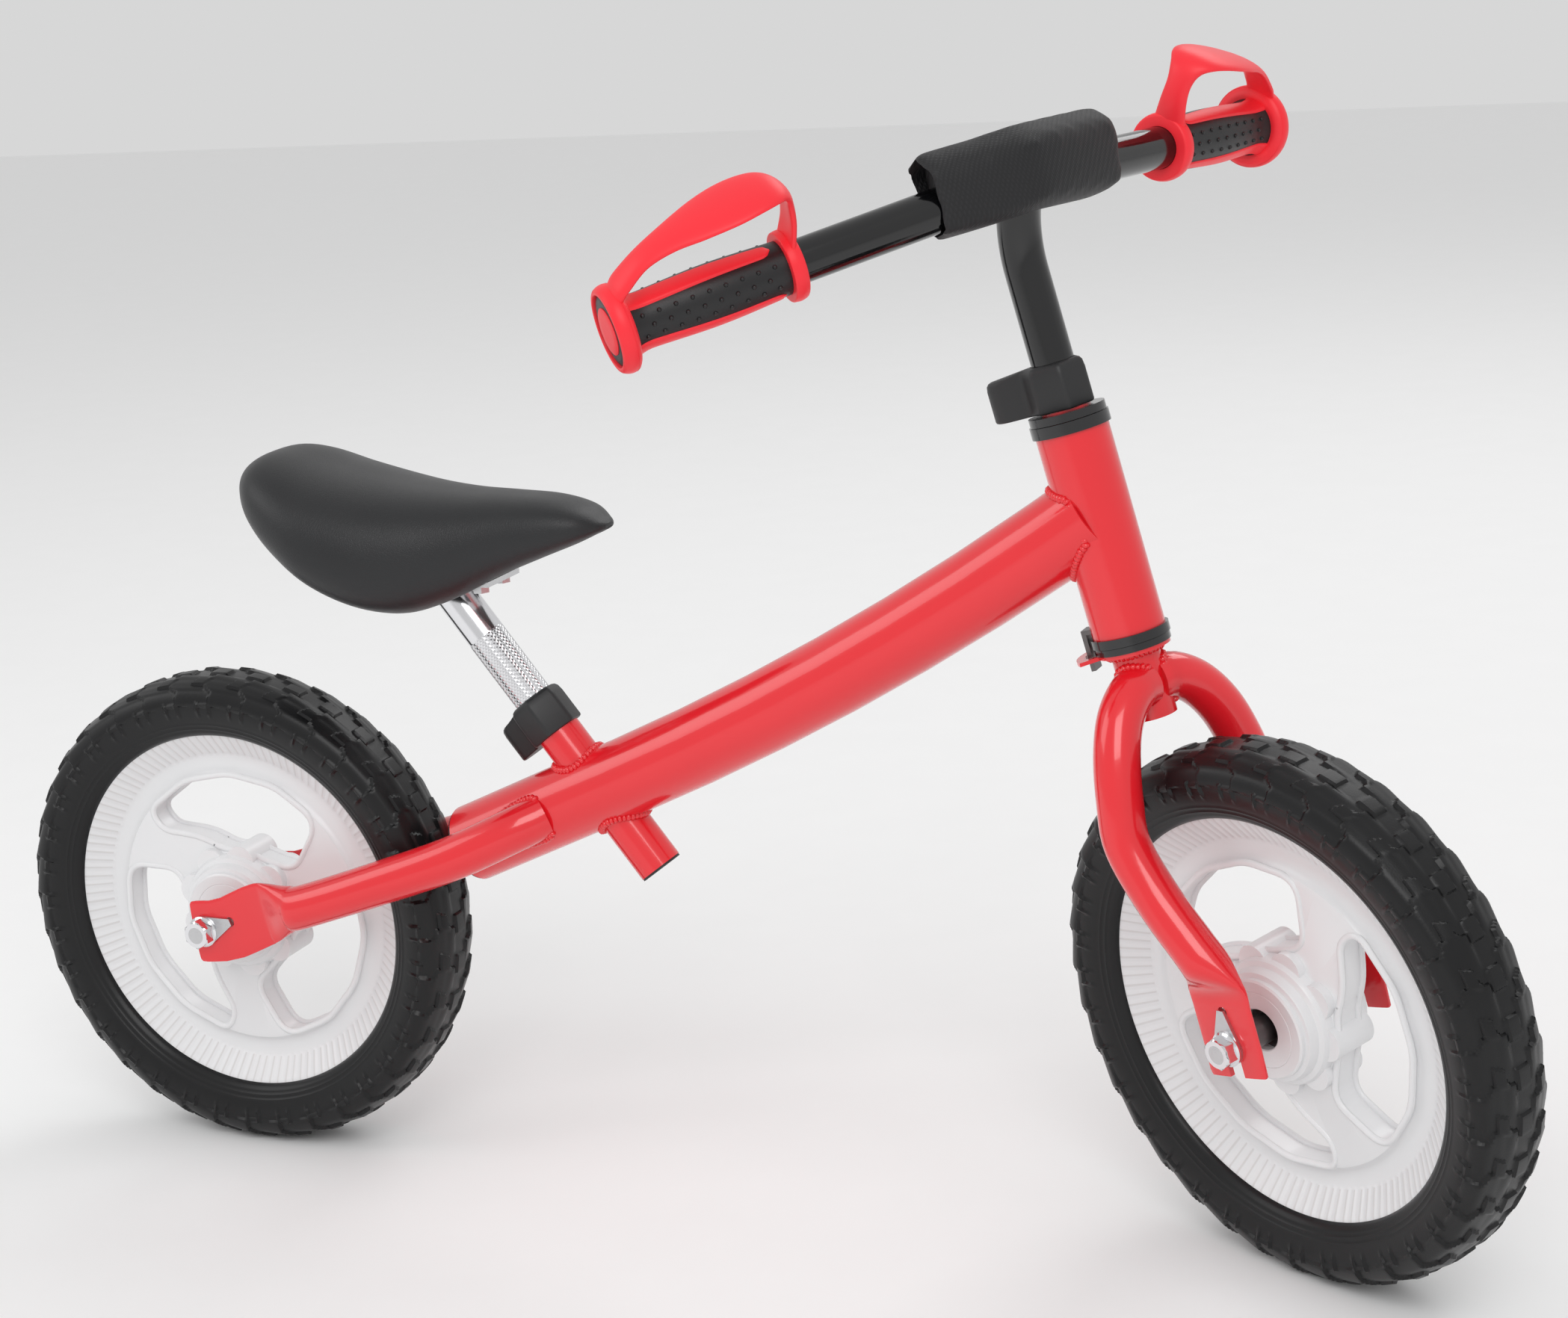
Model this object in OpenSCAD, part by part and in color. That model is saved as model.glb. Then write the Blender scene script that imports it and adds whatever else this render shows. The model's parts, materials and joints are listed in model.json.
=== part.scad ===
// Child's balance bike: a bent main tube, two spoked plastic wheels on foam tyres,
// a turning fork with a steering stop, and a saddle and a bar that clamp at any height.
// X is forward, Y is to the rider's left, Z is up, and the floor is at Z = 0.

/* [Stance] */
// Distance between the axles with the wheel straight ahead
wheelbase = 646; // [600:1:800]
// Lean of the steering axis back from upright, in degrees
head_lean = 14; // [8:0.5:20]
// How far the front axle lies ahead of the steering axis
fork_offset = 42; // [30:1:55]
// How far the bar and fork are turned to the right as the bike stands, in degrees
bar_turn = 29; // [0:1:38]
// How far the steering may turn to each side, in degrees
steer_limit = 42; // [40:1:50]

/* [Wheels] */
// Outer diameter of both tyres
tyre_d = 290; // [240:1:350]
// Width of the tyre over its sidewalls
tyre_w = 48; // [42:1:62]
// Height of the tyre from the rim's edge to the tread
tyre_h = 36; // [28:1:42]
// Width of the rim between the two tyre lips
rim_w = 29; // [24:1:34]
// Thickness of the spoked web
web_t = 17; // [12:1:22]
// Length of the wheel's hub
hub_w = 50; // [46:1:60]
// Outer diameter of the hub's barrel
hub_d = 68; // [60:1:76]
// Diameter of the axle
axle_d = 10; // [8:0.5:12]
// Outer diameter of the wheel bearing
bearing_d = 26; // [24:1:30]
// Width of the wheel bearing
bearing_w = 8; // [6:1:10]
// Gap between the tyre's sidewall and the middle of a dropout plate
dropout_gap = 22; // [20:0.5:28]

/* [Frame] */
// Outer diameter of the main tube
main_d = 44.5; // [38:0.5:50]
// Rise of the main tube's straight rear stretch, in degrees
main_rise = 24; // [18:0.5:26]
// Length of the main tube's straight rear stretch
main_straight = 112; // [108:1:150]
// Gap between the rear tyre and the main tube's rear end
tail_gap = 22.5; // [18:0.5:35]
// Outer diameter of the head tube
head_d = 38; // [34:0.5:44]
// Length of the head tube
head_l = 106; // [96:1:140]
// Distance from the head tube's lower end to the main tube's joint
head_joint = 63; // [52:1:70]
// Outer diameter of the rear stays and fork legs before they are flattened
stay_d = 25.4; // [22:0.2:28]
// Outer diameter of the fork legs before they are flattened
leg_d = 24; // [20:0.2:27]
// Thickness of a flattened dropout
dropout_t = 3; // [2.5:0.5:5]
// Height of a flattened dropout
dropout_h = 38; // [32:1:44]
// Wall of the steel tubes
tube_t = 1.5; // [1.2:0.1:2.4]

/* [Seat] */
// Outer diameter of the seat tube and of the fork's steerer
clamp_tube_d = 25.4; // [25:0.2:30]
// Outer diameter of the seat post, the stem and the handlebar
inner_tube_d = 22.2; // [20:0.1:22.3]
// Lean of the seat tube back from upright, in degrees
seat_lean = 37; // [32:0.5:42]
// Distance along the main tube from its rear end to the seat tube
seat_tube_at = 93; // [86:1:105]
// Length of the seat tube below the main tube's axis
seat_tube_below = 55; // [40:1:70]
// Height of the clamp knob's lower face above the main tube's axis
seat_knob_at = 39.5; // [38:0.5:60]
// Length of seat post between the knob and the saddle's bracket
post_show = 84; // [75:1:120]
// Length of the saddle
saddle_l = 221; // [200:1:260]
// Width of the saddle at its widest
saddle_w = 118; // [108:1:150]

/* [Handlebar] */
// Height of the bar above the clamp knob, along the stem
bar_rise = 91; // [80:1:140]
// Bend of the stem's upper stretch forward, in degrees
stem_bend = 42; // [36:1:50]
// Sweep of each half of the bar backward, in degrees
bar_sweep = 17; // [10:1:25]
// Tilt of the swept halves downward, in degrees
bar_pitch = 10; // [0:1:15]
// Turn of the clamped bar against the fork, in degrees
bar_skew = 3.5; // [0:1:8]
// Length of each half of the bar from its middle to the grip's outer face
bar_half = 224; // [210:1:260]
// Length of a grip with its flange and collar
grip_l = 101; // [92:1:112]
// Outer diameter of a grip
grip_d = 31; // [29:0.5:36]
// Outer diameter of a grip's safety flange
flange_d = 46; // [42:1:54]
// Height of the hand guard over the bar's axis
guard_h = 49; // [42:1:56]
// Lean of the hand guard forward from upright, in degrees
guard_tilt = 46; // [0:1:60]
// Reach of the pad along the bar's left half
pad_left = 70; // [50:1:84]
// Reach of the pad along the bar's right half
pad_right = 52; // [45:1:84]

/* [Clamp knob] */
// Height of a clamp knob
knob_h = 24; // [22:0.5:28]
// Size of a clamp knob's hexagonal body over its corners
knob_d = 33; // [33:0.5:38]
// Reach of the thumb wing from the knob's axis
wing_reach = 40; // [34:1:42]
// Direction of the seat knob's wing, in degrees from straight ahead
seat_wing_at = 162; // [0:1:360]
// Direction of the bar knob's wing, in degrees from straight ahead
bar_wing_at = 178; // [0:1:360]

/* [Fits] */
// Radial gap of parts that turn or slide in each other
run_gap = 0.06; // [0.02:0.01:0.1]
// Gap between soft parts and what they lie next to
soft_gap = 0.4; // [0.3:0.1:0.8]

/* [Hidden] */
$fn = 64;
cut = 1;
tyre_r = tyre_d / 2;
rim_r = tyre_r - tyre_h;
axle_r = axle_d / 2;
clamp_r = clamp_tube_d / 2;
inner_r = inner_tube_d / 2;
head_r = head_d / 2;
main_r = main_d / 2;
drop_y = tyre_w / 2 + dropout_gap;

// Steering axis: heights along it are measured from the foot of the front axle's offset.
crown_gap = 39;
crown_h = 22;
crown_up = tyre_r + crown_gap;
head_low = crown_up + crown_h;
head_top = head_low + head_l;
cup_h = 6;
low_cup_h = 4.7;
lock_h = 4.5;
bar_knob_at = head_top + cup_h + lock_h + 1;
// A wheel that leans touches the floor beside its lowest rim point.
wheel_lean = asin(sin(head_lean) * sin(bar_turn));
tread_flat = 6;
front_drop = tyre_r * cos(wheel_lean) + tread_flat * sin(wheel_lean);
axis_x = wheelbase - fork_offset * cos(head_lean);
axis_z = front_drop - fork_offset * sin(head_lean) * cos(bar_turn);
joint_up = head_low + head_joint;

// Main tube: a straight tail, then an arc that meets the steering axis.
tail_r = tyre_r + tail_gap;
tail_dir = 17.3;
tail = [tail_r * cos(tail_dir), tyre_r + tail_r * sin(tail_dir)];
along = [cos(main_rise), sin(main_rise)];
bend_start = tail + main_straight * along;
joint = [axis_x - joint_up * sin(head_lean), axis_z + joint_up * cos(head_lean)];
chord = joint - bend_start;
chord_dir = atan2(chord[1], chord[0]) - main_rise;
bend_r = norm(chord) / (2 * sin(chord_dir));
seat_cross = tail + seat_tube_at * along;

// Seat clamp and post: heights along the seat tube's axis from its crossing.
seat_tube_top = seat_knob_at + knob_h / 2;
bracket_up = seat_knob_at + knob_h + post_show;
post_low = -seat_tube_below + 50;
bracket_t = 3;
saddle_seat = seat_cross + bracket_up * [-sin(seat_lean), cos(seat_lean)];
saddle_tail_x = saddle_seat[0] - 112;

// Stem and bar, along the steering axis.
bar_up = bar_knob_at + knob_h + bar_rise;
// The bar's middle lies this far ahead of the steering axis.
bar_fwd = 17;
stem_r = bar_fwd / (1 - cos(stem_bend));
stem_bend_up = bar_up - stem_r * sin(stem_bend);
stem_low = head_low + 40;
bar_bend_r = 70;
// The bend is this much thicker than the straight tube that runs into it.
bend_step = 0.4;
grip_in = bar_half - grip_l;
collar_l = 8;
flange_l = 11;

// The model's middle: the bars are turned, so the box isn't centred on the frame.
grip_back = 48;
grip_edge = 16;
tyre_edge = 13;
grip_reach = (bar_half - flange_l) * cos(bar_sweep);
right_reach = grip_reach * cos(bar_turn + bar_skew) - grip_back * sin(bar_turn + bar_skew) + grip_edge;
left_reach = grip_reach * cos(bar_turn + bar_skew) + grip_back * sin(bar_turn + bar_skew) + grip_edge;
front_reach = axis_x + fork_offset * cos(head_lean) * cos(bar_turn) + tyre_r * cos(bar_turn) + tyre_edge;
mid_x = (front_reach - tyre_r) / 2;
mid_y = (left_reach - right_reach) / 2;

// ---------- Places ----------
module on_floor() translate([-mid_x, -mid_y, 0]) children();
module at_rear() on_floor() translate([0, 0, tyre_r]) children();
module at_head() on_floor() translate([axis_x, 0, axis_z]) rotate([0, -head_lean, 0]) children();
module at_fork() at_head() rotate([0, 0, -bar_turn]) children();
module at_front() at_fork() translate([fork_offset, 0, 0]) children();
module at_seat()
    on_floor() translate([seat_cross[0], 0, seat_cross[1]]) rotate([0, -seat_lean, 0]) children();
module at_bar()
    at_fork() translate([bar_fwd * cos(bar_skew), -bar_fwd * sin(bar_skew), bar_up])
        rotate([0, 0, -bar_skew]) rotate([0, -bar_pitch, 0]) children();
// A half of the bar: its own Z runs outward from the middle, and X points up from the bar.
module at_half(side) at_bar() rotate([0, 0, side * bar_sweep]) rotate([-side * 90, 0, 0])
    rotate([0, 0, -side * 90]) children();
module both() for (side = [-1, 1]) scale([1, side, 1]) children();

// ---------- Shapes that repeat ----------
module ring(outer, inner, low, high)
    difference() {
        translate([0, 0, low]) cylinder(r = outer, h = high - low);
        translate([0, 0, low - cut]) cylinder(r = inner, h = high - low + 2 * cut);
    }
// An outline of [x, y, rounding] corners; each corner becomes a short curve.
function corner(a, p, b, r, n) =
    let (p2 = [p[0], p[1]],
         ua = ([a[0], a[1]] - p2) / norm([a[0], a[1]] - p2),
         ub = ([b[0], b[1]] - p2) / norm([b[0], b[1]] - p2))
    r == 0 ? [p2] : [for (i = [0 : n]) let (t = i / n)
        p2 + ua * r * (1 - t) * (1 - t) + ub * r * t * t];
function rounded(pts, n = 5) =
    [for (i = [0 : len(pts) - 1])
        each corner(pts[(i + len(pts) - 1) % len(pts)], pts[i], pts[(i + 1) % len(pts)],
            pts[i][2], n)];
function polar(r, a) = [r * cos(a), r * sin(a)];
// A closed skin over rings of points that all have the same count.
module skin(rings) {
    n = len(rings[0]);
    m = len(rings);
    polyhedron(
        points = [for (r = rings) each r],
        faces = concat([[for (i = [0 : n - 1]) i]],
            [for (j = [0 : m - 2], i = [0 : n - 1])
                [j * n + i, (j + 1) * n + i, (j + 1) * n + (i + 1) % n, j * n + (i + 1) % n]],
            [[for (i = [n - 1 : -1 : 0]) (m - 1) * n + i]]));
}
function unit(v) = v / norm(v);
function mix(p, i, t) =
    let (a = p[max(i - 1, 0)], b = p[i], c = p[i + 1], d = p[min(i + 2, len(p) - 1)])
    (2 * b + (c - a) * t + (2 * a - 5 * b + 4 * c - d) * t * t
        + (3 * b - a - 3 * c + d) * t * t * t) / 2;
function smooth(p, n) = [for (i = [0 : len(p) - 2], k = [0 : n - 1]) mix(p, i, k / n), p[len(p) - 1]];
// Rings round a path of [x, y, z, half thickness across Y, half height] stations.
function tube_rings(s, sides, less = 0) =
    [for (i = [0 : len(s) - 1])
        let (a = s[max(i - 1, 0)], b = s[min(i + 1, len(s) - 1)],
             t = unit([b[0] - a[0], b[1] - a[1], b[2] - a[2]]),
             thin = unit([0, 1, 0] - t[1] * t),
             wide = cross(t, thin))
        [for (k = [0 : sides - 1]) let (f = 360 * k / sides)
            [s[i][0], s[i][1], s[i][2]] + thin * (s[i][3] - less) * cos(f)
                + wide * (s[i][4] - less) * sin(f)]];

// ---------- Frame ----------
module main_rod(r) translate([bend_start[0], 0, bend_start[1]]) rotate([0, -main_rise, 0]) {
    rotate([0, -90, 0]) cylinder(r = r, h = main_straight);
    rotate([90, 0, 0]) translate([0, bend_r, 0]) rotate([0, 0, -90])
        rotate_extrude(angle = 2 * chord_dir, $fn = 96) translate([bend_r, 0]) circle(r = r);
}
module main_tail_plane() translate([tail[0], 0, tail[1]]) rotate([0, -main_rise, 0]) children();
module main_tube() color("red") difference() {
    on_floor() main_rod(main_r);
    on_floor() main_rod(main_r - tube_t);
    at_head() translate([0, 0, head_low]) cylinder(r = head_r, h = head_l);
    at_seat() translate([0, 0, -seat_tube_below]) cylinder(r = clamp_r, h = 3 * seat_tube_below);
}
module main_tube_plug() color("black") on_floor() main_tail_plane() rotate([0, 90, 0]) {
    cylinder(r = main_r - tube_t, h = 8);
    translate([0, 0, -1.2]) cylinder(r = main_r - 0.6, h = 1.2);
}
module head_tube() color("red") at_head() ring(head_r, head_r - 2, head_low, head_top);
module seat_tube() color("red") at_seat()
    ring(clamp_r, inner_r + run_gap, -seat_tube_below, seat_tube_top);
module seat_tube_plug() color("black") at_seat() {
    translate([0, 0, -seat_tube_below - 1.2]) cylinder(r = clamp_r - 0.4, h = 1.2);
    translate([0, 0, -seat_tube_below]) cylinder(r = inner_r + run_gap, h = 8);
}
module stay(side) {
    wide = stay_d / 2;
    flat = dropout_t / 2;
    high = dropout_h / 2;
    plate = [cos(tail_dir), sin(tail_dir)];
    start = tail + 60 * along;
    // From the main tube's flank, past its tail, out to the plate that holds the axle.
    stations = [
        [start[0], side * (main_r - 8), start[1], wide, wide],
        [tail[0] + 42 * along[0], side * (main_r + 4), tail[1] + 42 * along[1], wide, wide],
        [tail[0] + 4, side * (drop_y - 9), tail[1] + 2, wide, wide],
        [0.73 * tail[0], side * (drop_y - 3), tyre_r + 0.73 * (tail[1] - tyre_r) - 1, wide, wide],
        [74 * plate[0], side * drop_y, tyre_r + 74 * plate[1] - 2, wide, wide],
        [62 * plate[0], side * drop_y, tyre_r + 62 * plate[1] - 1, wide - 2, wide + 1],
        [48 * plate[0], side * drop_y, tyre_r + 48 * plate[1], flat + 2, high - 1],
        [42 * plate[0], side * drop_y, tyre_r + 42 * plate[1], flat, high],
        [-8, side * drop_y, tyre_r - 1, flat, high]];
    color("red") difference() {
        on_floor() intersection() {
            skin(tube_rings(concat(smooth([for (i = [0 : 4]) stations[i]], 5),
                smooth([for (i = [5 : 7]) stations[i]], 2), [stations[8]]), 20));
            // The plate's faces are pressed flat to the dropout's thickness at the axle.
            union() {
                translate([-20, side > 0 ? drop_y - flat : -drop_y - flat, 0])
                    cube([20 + 40 * plate[0], 2 * flat, 2 * tyre_r]);
                translate([40 * plate[0], side > 0 ? 0 : -2 * drop_y, 0])
                    cube([tail[0] + 100, 2 * drop_y, 2 * tyre_r]);
            }
        }
        on_floor() main_rod(main_r);
        dropout_cuts(side);
    }
}
// The axle's slot, open to the rear, and the small hole for the tab washer.
module dropout_cuts(side) at_rear() translate([0, side * drop_y, 0]) {
    rotate([90, 0, 0]) cylinder(r = axle_r + 0.1, h = 12, center = true);
    translate([-15, 0, 0]) cube([30, 12, 2 * axle_r + 0.2], center = true);
    rotate([0, -tab_dir_rear, 0]) translate([tab_reach, 0, 0]) rotate([90, 0, 0])
        cylinder(r = 3, h = 12, center = true);
}
tab_reach = 19;
tab_dir_rear = 20;
tab_dir_front = 84;
module stay_left() stay(1);
module stay_right() stay(-1);

// ---------- Headset and steering stop ----------
tab_r = 22.5;
tab_t = 2.4;
tab_w = 10;
plate_up = head_low - 10.5;
plate_t = 2;
tab_half = atan(tab_w / 2 / (tab_r - tab_t / 2));
slot_half = steer_limit + tab_half + 0.6;
module steering_stop() color("silver") at_head() {
    translate([-tab_r - tab_t / 2, -tab_w / 2, plate_up - 6])
        cube([tab_t, tab_w, head_low + 5 - plate_up + 6]);
    difference() {
        translate([-tab_r, -tab_w / 2, head_low + 5 - tab_t]) cube([tab_r, tab_w, tab_t]);
        translate([0, 0, head_low - cut]) cylinder(r = head_r, h = 20);
    }
}
module cup(low, high, spigot_low, spigot_high) {
    ring(head_r + 1.5, clamp_r + run_gap, low, high);
    ring(head_r - 2, clamp_r + run_gap, spigot_low, spigot_high);
}
module upper_cup() color("black") at_head()
    cup(head_top, head_top + cup_h, head_top - 9, head_top);
module lower_cup() color("black") at_head()
    cup(head_low - low_cup_h, head_low, head_low, head_low + 9);
module crown_ring() color("black") at_fork()
    ring(head_r + 0.8, clamp_r, plate_up + plate_t, head_low - low_cup_h - 0.3);
module lock_ring() color("black") at_fork()
    ring(head_r + 0.8, clamp_r, head_top + cup_h + 0.3, head_top + cup_h + lock_h);
module steerer() color("red") at_fork()
    ring(clamp_r, inner_r + run_gap, crown_up - 24, bar_knob_at + knob_h / 2);
module sector(r, half) polygon(concat([[0, 0]],
    [for (i = [0 : 16]) polar(r, 180 - half + 2 * half * i / 16)]));
module stop_plate() color("red") at_fork() translate([0, 0, plate_up])
    difference() {
        union() {
            cylinder(r = head_r, h = plate_t);
            linear_extrude(plate_t) sector(tab_r + 7.5, slot_half + 11);
        }
        translate([0, 0, -cut]) cylinder(r = clamp_r, h = 3 * plate_t);
        translate([0, 0, -cut]) linear_extrude(3 * plate_t) difference() {
            sector(tab_r + tab_t / 2 + 2, slot_half);
            circle(r = tab_r - tab_t / 2 - 1.6);
        }
    }

// ---------- Fork ----------
module fork_leg(side) {
    r = leg_d / 2;
    flat = dropout_t / 2;
    high = dropout_h / 2 + 1;
    out = drop_y + 2;
    stations = [
        [4, side * 4, crown_up - 6.5, r, r],
        [6, side * 15, crown_up - 7.5, r, r],
        [7.5, side * (out - 20), crown_up - 17, r, r],
        [9, side * (out - 10), crown_up - 33, r, r],
        [9.5, side * (out - 3.5), crown_up - 54, r, r],
        [10, side * out, 0.58 * crown_up, r, r],
        [fork_offset - 20, side * out, 0.42 * crown_up, r, r],
        [fork_offset - 5, side * out, 0.29 * crown_up, r, r],
        [fork_offset, side * (out - 1), 0.23 * crown_up, r - 1, r + 2],
        [fork_offset + 1, side * drop_y, 0.18 * crown_up, flat + 1, high],
        [fork_offset + 1, side * drop_y, 0.14 * crown_up, flat, high],
        [fork_offset, side * drop_y, -16, flat, high]];
    color("red") difference() {
        at_fork() intersection() {
            skin(tube_rings(concat(smooth([for (i = [0 : 9]) stations[i]], 4),
                [stations[10], stations[11]]), 20));
            union() {
                translate([-50, side > 0 ? drop_y - flat : -drop_y - flat, -40])
                    cube([150, 2 * flat, 40 + 0.14 * crown_up]);
                translate([-50, side > 0 ? 0 : -2 * drop_y, 0.14 * crown_up])
                    cube([150, 2 * drop_y, crown_up + 40]);
            }
        }
        at_fork() translate([0, 0, crown_up - 60]) cylinder(r = clamp_r, h = 120);
        at_front() translate([0, side * drop_y, 0]) {
            rotate([90, 0, 0]) cylinder(r = axle_r + 0.1, h = 12, center = true);
            translate([0, 0, -15]) cube([2 * axle_r + 0.2, 12, 30], center = true);
            rotate([0, -tab_dir_front, 0]) translate([tab_reach, 0, 0]) rotate([90, 0, 0])
                cylinder(r = 3, h = 12, center = true);
        }
    }
}
module fork_leg_left() fork_leg(1);
module fork_leg_right() fork_leg(-1);

// ---------- Axles and their fasteners, along Y ----------
nut_af = 15;
nut_h = 8;
washer_t = 1.8;
washer_y = drop_y + dropout_t / 2;
module across() rotate([-90, 0, 0]) children();
module axle() color("silver") across()
    translate([0, 0, -washer_y - washer_t - nut_h])
        cylinder(r = axle_r, h = 2 * (washer_y + washer_t + nut_h));
module axle_nuts() color("silver") both() across() difference() {
    translate([0, 0, washer_y + washer_t]) {
        cylinder(r = nut_af / 2 / cos(30), h = nut_h, $fn = 6);
        cylinder(r = nut_af / 2 + 1.6, h = 1.6);
    }
    translate([0, 0, washer_y - cut]) cylinder(r = axle_r, h = 20);
}
module tab_washers(dir) color("silver") both() difference() {
    translate([0, washer_y, 0]) union() {
        across() cylinder(r = 9, h = washer_t);
        rotate([0, -dir, 0]) translate([0, washer_t, 0]) rotate([90, 0, 0])
            linear_extrude(washer_t) polygon([[2, -8.8], [tab_reach + 1.5, -2], [tab_reach + 1.5, 2],
                [2, 8.8]]);
        rotate([0, -dir, 0]) translate([tab_reach - 1.5, -1.6, -2]) cube([3, 1.7, 4]);
    }
    across() cylinder(r = axle_r, h = 100);
}
bearing_out = hub_w / 2 - 8;
module spacers() color("dimgray") both() across()
    ring(axle_r + 2.5, axle_r, bearing_out, drop_y - dropout_t / 2);
module rear_axle() at_rear() axle();
module rear_axle_nuts() at_rear() axle_nuts();
module rear_tab_washers() at_rear() tab_washers(tab_dir_rear);
module rear_spacers() at_rear() spacers();
module front_axle() at_front() axle();
module front_axle_nuts() at_front() axle_nuts();
module front_tab_washers() at_front() tab_washers(tab_dir_front);
module front_spacers() at_front() spacers();

// ---------- Wheels, turning about Y ----------
web_r = rim_r - 26;
bead_r = rim_r + 9;
// Corners of one window, as [radius, angle, rounding].
hub_r = hub_d / 2;
window_corners = [[web_r, 44, 13], [web_r + 1, 68, 4], [web_r + 1, 90, 4], [web_r + 1, 112, 4],
    [web_r, 136, 9], [web_r - 15, 138, 5], [hub_r + 15, 118, 9], [hub_r + 2, 103, 4],
    [hub_r + 3, 80, 4], [hub_r + 3, 58, 4], [hub_r + 14, 33, 10]];
module window() linear_extrude(4 * web_t, center = true) polygon(rounded(
    [for (c = window_corners) [c[0] * cos(c[1]), c[0] * sin(c[1]), c[2]]], 4));
// One side of the turned wheel body, from the hub's flange out to the lip.
function rim_side(side) = [for (p = [[bearing_d / 2, hub_w / 2 - cap_t], [hub_cap_r, hub_w / 2 - cap_t],
    [hub_r - 3, hub_w / 2 - 8], [hub_r, web_t / 2], [web_r + 5, web_t / 2],
    [web_r + 12, rim_w / 2 - 7], [rim_r, rim_w / 2], [bead_r - 5, rim_w / 2],
    [bead_r, rim_w / 2 - 6]]) [p[0], side * p[1]]];
module rim() color("white") across() difference() {
    rotate_extrude($fn = 128) polygon(concat(rim_side(-1),
        [for (i = [8 : -1 : 0]) rim_side(1)[i]]));
    for (k = [0 : 2]) rotate([0, 0, 120 * k]) mirror([0, 1, 0]) window();
}
cap_t = 3;
hub_cap_r = 27;
module hub_caps() color("white") both() across()
    ring(hub_cap_r, 11, hub_w / 2 - cap_t, hub_w / 2);
module bearings() color("silver") both() across()
    ring(bearing_d / 2, axle_r + run_gap, bearing_out - bearing_w, bearing_out - 0.2);
module hub_sleeve() color("silver") across()
    ring(axle_r + 2, axle_r + run_gap, -bearing_out + bearing_w, bearing_out - bearing_w);
module tyre() color("dimgray") across() rotate_extrude($fn = 128)
    polygon(concat(
        rounded([[rim_r + 5, tyre_w / 2 - 5, 2], [tyre_r - 18, tyre_w / 2, 8],
            [tyre_r - 6, tyre_w / 2 - 3, 5], [tyre_r - 1.8, tyre_w / 2 - 11, 4],
            [tyre_r, tread_flat, 0], [tyre_r, -tread_flat, 0],
            [tyre_r - 1.8, 11 - tyre_w / 2, 4],
            [tyre_r - 6, -tyre_w / 2 + 3, 5], [tyre_r - 18, -tyre_w / 2, 8],
            [rim_r + 5, -tyre_w / 2 + 5, 2],
            [rim_r, -rim_w / 2, 0], [bead_r - 5, -rim_w / 2, 0], [bead_r, -rim_w / 2 + 6, 0],
            [bead_r, rim_w / 2 - 6, 0], [bead_r - 5, rim_w / 2, 0], [rim_r, rim_w / 2, 0]], 4)));
module rear_rim() at_rear() rim();
module rear_tyre() at_rear() tyre();
module rear_hub_caps() at_rear() hub_caps();
module rear_bearings() at_rear() bearings();
module rear_hub_sleeve() at_rear() hub_sleeve();
front_spin = -20;
module front_rim() at_front() rotate([0, front_spin, 0]) rim();
module front_tyre() at_front() tyre();
module front_hub_caps() at_front() hub_caps();
module front_bearings() at_front() bearings();
module front_hub_sleeve() at_front() hub_sleeve();

// ---------- Clamp knobs ----------
collet_h = knob_h / 2 - 3.5;
wing_h = 18;
module knob(wing_dir) color("dimgray") rotate([0, 0, wing_dir]) difference() {
    linear_extrude(knob_h) polygon(rounded([
        [-knob_d / 4, -knob_d / 2 * cos(30), 2], [6, -knob_d / 2 * cos(30), 5],
        [wing_reach, -4, 2], [wing_reach - 3, 4, 3], [knob_d / 2, 5, 3],
        [knob_d / 4, knob_d / 2 * cos(30), 2], [-knob_d / 4, knob_d / 2 * cos(30), 2],
        [-knob_d / 2, 0, 2]], 5));
    translate([knob_d / 2 + 3, -knob_d, wing_h]) cube([wing_reach, 2 * knob_d, knob_h]);
    translate([0, 0, -cut]) cylinder(r = clamp_r + run_gap, h = knob_h - 3 + cut);
    cylinder(r = inner_r + 0.4, h = 2 * knob_h);
}
module collet(at) color("black") ring(clamp_r - 0.4, inner_r + run_gap, at + knob_h / 2,
    at + knob_h / 2 + collet_h);
module seat_collet() at_seat() collet(seat_knob_at);
module bar_collet() at_fork() collet(bar_knob_at);
module seat_knob() at_seat() translate([0, 0, seat_knob_at]) knob(seat_wing_at);
module bar_knob() at_fork() translate([0, 0, bar_knob_at]) knob(bar_wing_at + bar_turn);

// ---------- Seat ----------
module seat_post() color("silver") difference() {
    at_seat() ring(inner_r, inner_r - tube_t, post_low, bracket_up + 12);
    on_floor() translate([saddle_seat[0] - 60, -50, saddle_seat[1]]) cube([120, 100, 60]);
}
bracket_x = 70;
bracket_y = 36;
bolt_x = 54;
bolt_y = 24;
bolt_r = 3;
module at_bracket() on_floor() translate([saddle_seat[0] + 4, 0, saddle_seat[1]]) children();
module at_bolts() at_bracket() for (x = [-1, 1], y = [-1, 1])
    translate([x * bolt_x / 2, y * bolt_y / 2, 0]) children();
module saddle_bracket() color("silver") difference() {
    at_bracket() translate([-bracket_x / 2, -bracket_y / 2, 0])
        cube([bracket_x, bracket_y, bracket_t]);
    at_bolts() translate([0, 0, -cut]) cylinder(r = bolt_r + 0.2, h = 9);
}
module saddle_bolts() color("silver") at_bolts() {
    translate([0, 0, -4]) cylinder(r = 5, h = 4, $fn = 6);
    cylinder(r = bolt_r, h = 18);
}
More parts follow.
